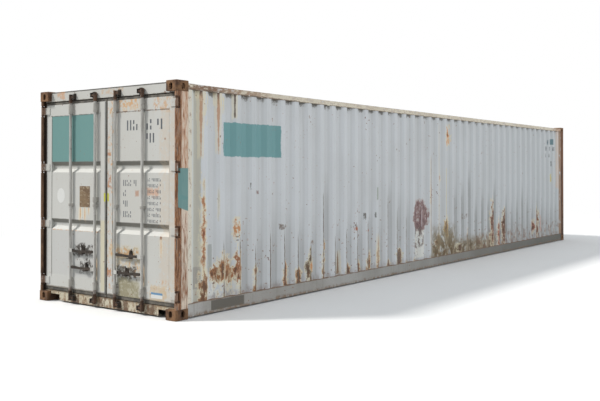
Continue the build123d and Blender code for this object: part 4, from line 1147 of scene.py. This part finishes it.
# The finish of each fixed node, and of each node on a door without the name of its side
BOX_FINISHES = {
    "casting": ("bottom_corner_castings", "top_corner_castings"),
    "left_post": ("left_door_post",),
    "right_post": ("right_door_post",),
    "front_post": ("left_front_post", "right_front_post"),
    "header": ("door_header",),
    "sill": ("door_sill",),
    "top_rail": ("left_top_rail", "right_top_rail", "front_top_rail"),
    "bottom_rail": ("left_bottom_rail", "right_bottom_rail", "front_bottom_rail"),
    "right_wall": ("right_side_wall",),
    "left_wall": ("left_side_wall",),
    "front_wall": ("front_wall",),
    "roof": ("roof", "roof_corner_plates"),
    "underframe": ("cross_members", "gooseneck_tunnel"),
    "plywood": ("floor",),
    "forging": ("cam_keepers",),
    "lug": ("hinge_lugs",),
}
DOOR_FINISHES = {
    "door": ("door_frame", "door_panel"),
    "rubber": ("door_seal",),
    "blades": ("door_hinge_blades",),
    "bracket": ("door_rod_brackets",),
    "forging": ("door_handle_retainers", "outer_handle", "inner_handle"),
    "rod": ("outer_lock_rod", "inner_lock_rod"),
    "cam": ("outer_rod_cams", "inner_rod_cams"),
}


def shown(name: str, data: bpy.types.ID) -> bpy.types.Object:
    """Puts a mesh, a lamp or a camera in the scene.

    Args:
        name: what the object is called.
        data: what it shows.

    Returns:
        The object.
    """
    thing = bpy.data.objects.new(name, data)
    bpy.context.scene.collection.objects.link(thing)
    return thing


class Part(NamedTuple):
    """What a piece is called, its finish, the body that it moves with and the record's slot."""

    name: str
    material: bpy.types.Material
    body: str
    slot: str

    def carry(self, piece: bpy.types.Object) -> None:
        """Lets the finished piece ride on its body."""
        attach(piece, self.body)


class Finishes:
    """All finishes, made once and looked up by name."""

    def __init__(self) -> None:
        """Builds every material."""
        self.materials = {recipe.name: recipe.build() for recipe in RECIPES}

    def dress(self, finishes: dict[str, tuple[str, ...]], side: str = "") -> None:
        """Gives CAD nodes their finishes.

        Args:
            finishes: the names of the nodes for each finish.
            side: what stands in front of each node's name.
        """
        for finish, names in finishes.items():
            for name in names:
                mesh = frame["nodes"][side + name].data
                mesh.materials.clear()
                mesh.materials.append(self.materials[finish])

    def part(self, name: str, finish: str, body: str, slot: str) -> Part:
        """Looks up what a new piece needs."""
        return Part(name, self.materials[finish], body, slot)


class Shape:
    """A mesh that is put together in metres, in the object's own frame."""

    def __init__(self) -> None:
        """Starts empty."""
        self.mesh = bmesh.new()

    def block(self, low: Point, high: Point) -> None:
        """Adds a box.

        Args:
            low: its lowest corner.
            high: its highest corner.
        """
        size = Vector(high) - Vector(low)
        middle = (Vector(high) + Vector(low)) / 2
        matrix = Matrix.Translation(middle) @ Matrix.Diagonal((*size, 1.0))
        bmesh.ops.create_cube(self.mesh, size=1.0, matrix=matrix)

    def oval(self, centre: Point, radii: Span, thickness: float, sides: int = 48) -> None:
        """Adds a flat oval that faces the door end.

        Args:
            centre: the middle of its back.
            radii: half its width and height.
            thickness: how far it stands proud.
            sides: how many sides it has.
        """
        matrix = Matrix.Translation(Vector(centre) - Vector((thickness / 2, 0, 0)))
        matrix @= Matrix.Rotation(math.pi / 2, 4, "Y")
        matrix @= Matrix.Diagonal((radii[1], radii[0], thickness, 1.0))
        bmesh.ops.create_cone(
            self.mesh, cap_ends=True, segments=sides, radius1=1.0, radius2=1.0, depth=1.0, matrix=matrix
        )

    def become(self, part: Part) -> None:
        """Turns the mesh into a piece.

        Args:
            part: what the piece is.
        """
        data = bpy.data.meshes.new(part.name)
        bmesh.ops.recalc_face_normals(self.mesh, faces=self.mesh.faces)
        self.mesh.to_mesh(data)
        self.mesh.free()
        data.materials.append(part.material)
        part.carry(shown(part.name, data))


class Tree(Nodes):
    """A Geometry Nodes tree that grows a piece from points or a path."""

    def __init__(self, name: str, sizes: Sequence[str]) -> None:
        """Starts the tree with its named inputs.

        Args:
            name: the tree's name.
            sizes: the names of its sizes.
        """
        self.group = bpy.data.node_groups.new(name, "GeometryNodeTree")
        super().__init__(self.group)
        kinds = {"Geometry": "Geometry", **dict.fromkeys(sizes, "Float"), "Seed": "Int", "Finish": "Material"}
        for label, kind in kinds.items():
            self.group.interface.new_socket(label, in_out="INPUT", socket_type="NodeSocket" + kind)
        self.group.interface.new_socket("Geometry", in_out="OUTPUT", socket_type="NodeSocketGeometry")
        self.given = self.nodes.new("NodeGroupInput").outputs

    def times(self, value: Socket, factor: float) -> Socket:
        """A size times a fixed factor."""
        return self.add("ShaderNodeMath", {0: value, 1: factor}, operation="MULTIPLY").outputs[0]

    def end(self, geometry: Socket) -> None:
        """Ends the tree in real geometry with the finish.

        Args:
            geometry: what the tree has made.
        """
        real = self.add("GeometryNodeRealizeInstances", {0: geometry})
        painted = self.add("GeometryNodeSetMaterial", {0: real.outputs[0], "Material": self.given["Finish"]})
        self.add("NodeGroupOutput", {0: painted.outputs[0]})

    def grow(self, part: Part, points: Sequence[Point], edges: Sequence[tuple], values: dict) -> None:
        """Runs the tree and keeps the result as a plain mesh.

        Args:
            part: what the piece is.
            points: the points that it starts from.
            edges: the pairs of them that a path joins.
            values: what its sizes and its seed are set to.
        """
        seeds = bpy.data.meshes.new(part.name + "_seeds")
        seeds.from_pydata(points, edges, [])
        piece = shown(part.name, seeds)
        modifier = piece.modifiers.new("tree", "NODES")
        modifier.node_group = self.group
        values = {**values, "Finish": part.material}
        for item in self.group.interface.items_tree:
            if item.in_out == "INPUT" and item.name in values:
                modifier[item.identifier] = values[item.name]
        graph = bpy.context.evaluated_depsgraph_get()
        made = bpy.data.meshes.new_from_object(piece.evaluated_get(graph))
        piece.modifiers.clear()
        piece.data = made
        bpy.data.meshes.remove(seeds)
        part.carry(piece)


class Heads(Tree):
    """Fastener heads with washers, one on every point."""

    def __init__(self, kind: Head, facing: Facing) -> None:
        """Builds the tree.

        Args:
            kind: the head's shape.
            facing: the way that the heads look.
        """
        super().__init__("heads", ("Radius", "Height"))
        radius, height = self.given["Radius"], self.given["Height"]
        inputs = {"Vertices": kind.value, "Radius": radius, "Depth": height}
        head = self.add("GeometryNodeMeshCylinder", inputs)
        inputs = {"Vertices": 14, "Radius": self.times(radius, 1.45), "Depth": self.times(height, 0.35)}
        washer = self.add("GeometryNodeMeshCylinder", inputs)
        both = self.add("GeometryNodeJoinGeometry", {0: head.outputs["Mesh"]})
        self.links.new(washer.outputs["Mesh"], both.inputs[0])
        turn = facing.value
        spun = tuple(angle + 3.0 * (axis == facing.spin) for axis, angle in enumerate(turn))
        inputs = {0: turn, 1: spun, "Seed": self.given["Seed"]}
        spin = self.add("FunctionNodeRandomValue", inputs, data_type="FLOAT_VECTOR")
        inputs = {"Points": self.given["Geometry"], "Instance": both.outputs[0], "Rotation": spin.outputs[0]}
        self.end(self.add("GeometryNodeInstanceOnPoints", inputs).outputs[0])

    def place(self, part: Part, points: Sequence[Point], sizes: Span) -> None:
        """Sets a head, whose radius and height are given, on every point."""
        self.grow(part, points, [], {"Radius": sizes[0], "Height": sizes[1], "Seed": 11})


class Beads(Tree):
    """A weld bead of uneven thickness that follows a path."""

    def __init__(self) -> None:
        """Builds the tree."""
        super().__init__("beads", ("Radius", "Pitch"))
        path = self.add("GeometryNodeMeshToCurve", {0: self.given["Geometry"]})
        inputs = {"Curve": path.outputs[0], "Length": self.given["Pitch"]}
        cut = self.add("GeometryNodeResampleCurve", inputs, mode="LENGTH")
        inputs = {2: 0.75, 3: 1.2, "Seed": self.given["Seed"]}
        uneven = self.add("FunctionNodeRandomValue", inputs, data_type="FLOAT").outputs[1]
        sized = self.add("GeometryNodeSetCurveRadius", {"Curve": cut.outputs[0], "Radius": uneven})
        ring = self.add("GeometryNodeCurvePrimitiveCircle", {"Resolution": 6, "Radius": self.given["Radius"]})
        inputs = {0: sized.outputs[0], 1: ring.outputs[0], "Fill Caps": True, "Scale": uneven}
        self.end(self.add("GeometryNodeCurveToMesh", inputs).outputs[0])

    def lay(self, part: Part, path: Sequence[Point]) -> None:
        """Lays a bead along a path."""
        edges = [(number, number + 1) for number in range(len(path) - 1)]
        self.grow(part, path, edges, {"Radius": 0.004, "Pitch": 0.018, "Seed": 5})


@dataclass
class BoxDress:
    """The fixed steelwork and floor: castings, posts, rails, walls and roof."""

    finishes: Finishes
    slope: float = 0.068
    bead_sink: float = 0.001
    screw_pitch: float = 0.30
    screw_span: Span = (-5.88, 5.95)
    screw_rows: int = 12
    row_pitch: float = 0.2
    screw_z: float = 0.1695

    def build(self) -> None:
        """Dresses every fixed node and adds its welds and screws."""
        self.finishes.dress(BOX_FINISHES)
        self.welds()
        self.screws()

    def welds(self) -> None:
        """Lays a bead along the foot and the head of both long walls."""
        beads = Beads()
        corners = [(-WALL_END, WALL_FACE)]
        start = RIB_START - RIB_PITCH
        while start < WALL_END:
            flat_end, next_rib = start + RIB_FLAT, start + RIB_PITCH
            bends = (start, WALL_FACE), (flat_end, WALL_FACE)
            bends += (flat_end + self.slope, WALL_INNER), (next_rib - self.slope, WALL_INNER)
            corners += [bend for bend in bends if abs(bend[0]) < WALL_END]
            start += RIB_PITCH
        for side, sign in (("left", 1), ("right", -1)):
            for place, z in (("foot", WALL_FOOT + 0.002), ("head", WALL_HEAD - 0.002)):
                path = [(x, sign * (y - self.bead_sink), z) for x, y in corners]
                name = f"{side}_wall_{place}_weld"
                beads.lay(self.finishes.part(name, side + "_wall", "box", "wall_paint"), path)

    def screws(self) -> None:
        """Sets the screws that hold the floor to its cross members."""
        points = []
        x, last = self.screw_span
        half = (self.screw_rows - 1) * self.row_pitch / 2
        while x < last:
            points += [(x, row * self.row_pitch - half, self.screw_z) for row in range(self.screw_rows)]
            x += self.screw_pitch
        part = self.finishes.part("floor_screws", "bracket", "box", "lock_gear")
        Heads(Head.ROUND, Facing.UP).place(part, points, (0.0055, 0.0012))


@dataclass
class DoorDress:
    """One door's nodes with its rods, handles and bolts."""

    finishes: Finishes
    side: str
    rods: Span = (0.642, 0.180)
    bolt_off: float = 0.0335
    bolt_inset: float = 0.02
    bracket_face: float = LEAF_FACE - 0.009
    brackets: tuple[Span, Span] = ((2.286, 2.420), (0.200, 0.311))

    def build(self) -> None:
        """Dresses the door and sets four bolts on every tall bracket."""
        self.finishes.dress(DOOR_FINISHES, self.side + "_")
        sign = 1 if self.side == "left" else -1
        points = [
            (self.bracket_face, sign * rod + across, z)
            for rod in self.rods
            for low, high in self.brackets
            for across in (-self.bolt_off, self.bolt_off)
            for z in (low + self.bolt_inset, high - self.bolt_inset)
        ]
        part = self.finishes.part(self.side + "_bracket_bolts", "bracket", self.side + "_door", "lock_gear")
        Heads(Head.HEX, Facing.DOOR_END).place(part, points, (0.008, 0.007))


@dataclass
class Labels:
    """Small plates, labels and plain stencilled strokes on the doors."""

    finishes: Finishes
    plate_y: Span = (0.307, 0.500)
    plate_z: Span = (1.175, 1.426)
    plate_rows: int = 9
    row_pitch: float = 0.024

    def build(self) -> None:
        """Makes all labels."""
        self.plate()
        self.small_labels()
        self.strokes()

    def plate(self) -> None:
        """A riveted plate with a rim and plain raised rows."""
        face = PANEL_FACE
        (y0, y1), (z0, z1) = self.plate_y, self.plate_z
        shape = Shape()
        shape.block((face - 0.0015, y0, z0), (face, y1, z1))
        for number in range(self.plate_rows):
            z = z1 - 0.03 - number * self.row_pitch
            shape.block((face - 0.0022, y0 + 0.02, z - 0.005), (face - 0.0014, y1 - 0.02, z + 0.004))
        shape.become(self.finishes.part("data_plate", "plate", "left_door", "rusty_forgings"))
        corners = [(face - 0.003, y, z) for y in (y0 + 0.01, y1 - 0.01) for z in (z0 + 0.01, z1 - 0.01)]
        part = self.finishes.part("plate_rivets", "bracket", "left_door", "lock_gear")
        Heads(Head.ROUND, Facing.DOOR_END).place(part, corners, (0.004, 0.003))

    def small_labels(self) -> None:
        """The oval, the torn tape beside the gap and the small blue label."""
        shape = Shape()
        shape.oval((PANEL_FACE, 0.867, 1.306), (0.075, 0.09), 0.0006)
        shape.become(self.finishes.part("white_oval", "label_white", "left_door", "door_paint"))
        for name, body, y0, y1, z0, z1, finish in (
            ("left_tape", "left_door", 0.018, 0.045, 1.251, 1.351, "label_yellow"),
            ("right_tape", "right_door", -0.045, -0.018, 1.255, 1.348, "label_yellow"),
            ("label_top", "right_door", -0.949, -0.766, 0.245, 0.268, "label_blue"),
            ("label_foot", "right_door", -0.949, -0.766, 0.206, 0.245, "label_white"),
        ):
            shape = Shape()
            shape.block((LEAF_FACE - 0.0008, y0, z0), (LEAF_FACE, y1, z1))
            shape.become(self.finishes.part(name, finish, body, "door_paint"))

    def strokes(self) -> None:
        """Rows of short plain strokes where the door carries stencilled marks."""
        rows = [
            ((-0.353, -0.565), 2.126, 0.115, 0.052),
            ((-0.680, -1.010), 2.126, 0.115, 0.058),
            ((-0.680, -0.880), 1.976, 0.105, 0.052),
            ((-0.292, -0.560), 1.471, 0.070, 0.030),
            ((-0.292, -0.410), 1.356, 0.070, 0.030),
            ((-0.292, -0.390), 1.236, 0.070, 0.030),
            ((-0.292, -0.480), 1.116, 0.070, 0.030),
        ]
        rows += [((-0.705, -0.935), 1.51 - 0.0657 * number, 0.036, 0.022) for number in range(8)]
        shape = Shape()
        for number, ((start, end), z, height, pitch) in enumerate(rows):
            for place in range(int(abs(end - start) / pitch)):
                y = start - place * pitch
                for low, high in Stroke.for_place(place * 7 + number * 3).value:
                    corner = (PANEL_FACE - 0.0005, y - pitch * 0.42, z + low * height)
                    shape.block(corner, (PANEL_FACE, y, z + high * height))
        shape.become(self.finishes.part("stencilled_strokes", "stencil", "right_door", "door_paint"))


def seen_rays(nodes: Nodes) -> Socket:
    """Tells rays that show the background from rays that light things.

    Args:
        nodes: the tree in question.

    Returns:
        1 for camera, glossy and transmission rays.
    """
    path = nodes.add("ShaderNodeLightPath", {}).outputs
    seen = path["Is Camera Ray"]
    for kind in ("Is Glossy Ray", "Is Transmission Ray"):
        seen = nodes.add("ShaderNodeMath", {0: seen, 1: path[kind]}, operation="MAXIMUM").outputs[0]
    return seen


class Lamp(NamedTuple):
    """One far soft lamp."""

    name: str
    towards: Point
    strength: float
    angle: float
    colour: Colour

    def hang(self) -> None:
        """Puts the lamp in the scene."""
        data = bpy.data.lights.new(self.name, "SUN")
        data.energy = self.strength
        data.angle = math.radians(self.angle)
        data.color = self.colour
        lamp = shown(self.name, data)
        lamp.rotation_mode = "QUATERNION"
        lamp.rotation_quaternion = Vector(self.towards).to_track_quat("Z", "Y")


@dataclass
class Studio:
    """Floor, light and camera."""

    place: Point = (-11.9943, -7.4164, 1.6201)
    yaw: float = 36.129
    pitch: float = 0.662
    lens: float = 47.27
    shift: Span = (-0.0323, -0.0662)
    lamps: tuple[Lamp, ...] = (
        Lamp("key", (-0.46, 0.525, 0.714), 2.7, 9.0, (1.0, 0.98, 0.94)),
        Lamp("fill", (0.35, -0.85, 0.40), 0.6, 60.0, (1.0, 1.0, 1.0)),
    )
    sky: Colour = (0.93, 0.97, 1.0)
    sky_strength: float = 0.65
    floor_half: float = 200.0
    floor_z: float = -0.0005

    def build(self) -> None:
        """Makes the studio."""
        self.camera()
        self.floor()
        self.surround()
        for lamp in self.lamps:
            lamp.hang()

    def camera(self) -> None:
        """Sets the camera at the photo's place."""
        data = bpy.data.cameras.new("camera")
        data.lens = self.lens
        data.sensor_width = 36.0
        data.shift_x, data.shift_y = self.shift
        data.clip_start, data.clip_end = 0.1, 500.0
        yaw, pitch = math.radians(self.yaw), math.radians(self.pitch)
        ahead = Vector((math.cos(pitch) * math.cos(yaw), math.cos(pitch) * math.sin(yaw), math.sin(pitch)))
        right = Vector((math.sin(yaw), -math.cos(yaw), 0.0))
        turn = Matrix((right, right.cross(ahead), -ahead)).transposed().to_4x4()
        camera = shown("camera", data)
        camera.matrix_world = Matrix.Translation(self.place) @ turn
        bpy.context.scene.camera = camera

    def floor(self) -> None:
        """A pale floor that fades to white away from the object."""
        graph = Graph("floor")
        seen = seen_rays(graph)
        stretch = {0: graph.place, 1: (0.085, 0.14, 0.0)}
        flat = graph.add("ShaderNodeVectorMath", stretch, operation="MULTIPLY").outputs[0]
        far = graph.add("ShaderNodeVectorMath", {0: flat}, operation="LENGTH").outputs["Value"]
        share = graph.times(graph.ramp(far, 0.55, 1.5), seen)
        tone = graph.mix(graph.noise(0.4, detail=2.0), (0.86, 0.86, 0.86), (0.9, 0.9, 0.9))
        colour = graph.mix(seen, (0.3, 0.3, 0.3), tone)
        near = graph.add("ShaderNodeBsdfDiffuse", {"Color": colour}).outputs[0]
        glow = graph.add("ShaderNodeEmission", {"Color": (1, 1, 1, 1), "Strength": 1.0}).outputs[0]
        both = graph.add("ShaderNodeMixShader", {0: share, 1: near, 2: glow}).outputs[0]
        graph.add("ShaderNodeOutputMaterial", {0: both})
        data = bpy.data.meshes.new("floor_plane")
        signs = ((-1, -1), (1, -1), (1, 1), (-1, 1))
        corners = [(x * self.floor_half, y * self.floor_half, self.floor_z) for x, y in signs]
        data.from_pydata(corners, [], [(0, 1, 2, 3)])
        data.materials.append(graph.material)
        shown("floor_plane", data)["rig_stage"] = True

    def surround(self) -> None:
        """A soft pale sky that shows white."""
        world = bpy.data.worlds.new("surround")
        bpy.context.scene.world = world
        world.use_nodes = True
        nodes = Nodes(world.node_tree)
        lit = nodes.add("ShaderNodeBackground", {0: (*self.sky, 1.0), 1: self.sky_strength})
        white = nodes.add("ShaderNodeBackground", {0: (1.0, 1.0, 1.0, 1.0), 1: 1.0})
        both = nodes.add("ShaderNodeMixShader", {0: seen_rays(nodes), 1: lit.outputs[0], 2: white.outputs[0]})
        nodes.add("ShaderNodeOutputWorld", {0: both.outputs[0]})


def main() -> None:
    """Builds everything and reports each piece."""
    logging.basicConfig(level=logging.INFO, format="%(message)s")
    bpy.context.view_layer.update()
    bpy.context.scene.view_settings.view_transform = "Standard"
    Studio().build()
    finishes = Finishes()
    BoxDress(finishes).build()
    for side in ("left", "right"):
        DoorDress(finishes, side).build()
    Labels(finishes).build()
    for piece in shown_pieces():
        if "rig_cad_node" not in piece:
            LOG.info("%s: %d faces", piece.name, len(piece.data.polygons))


if __name__ == "__main__":
    main()
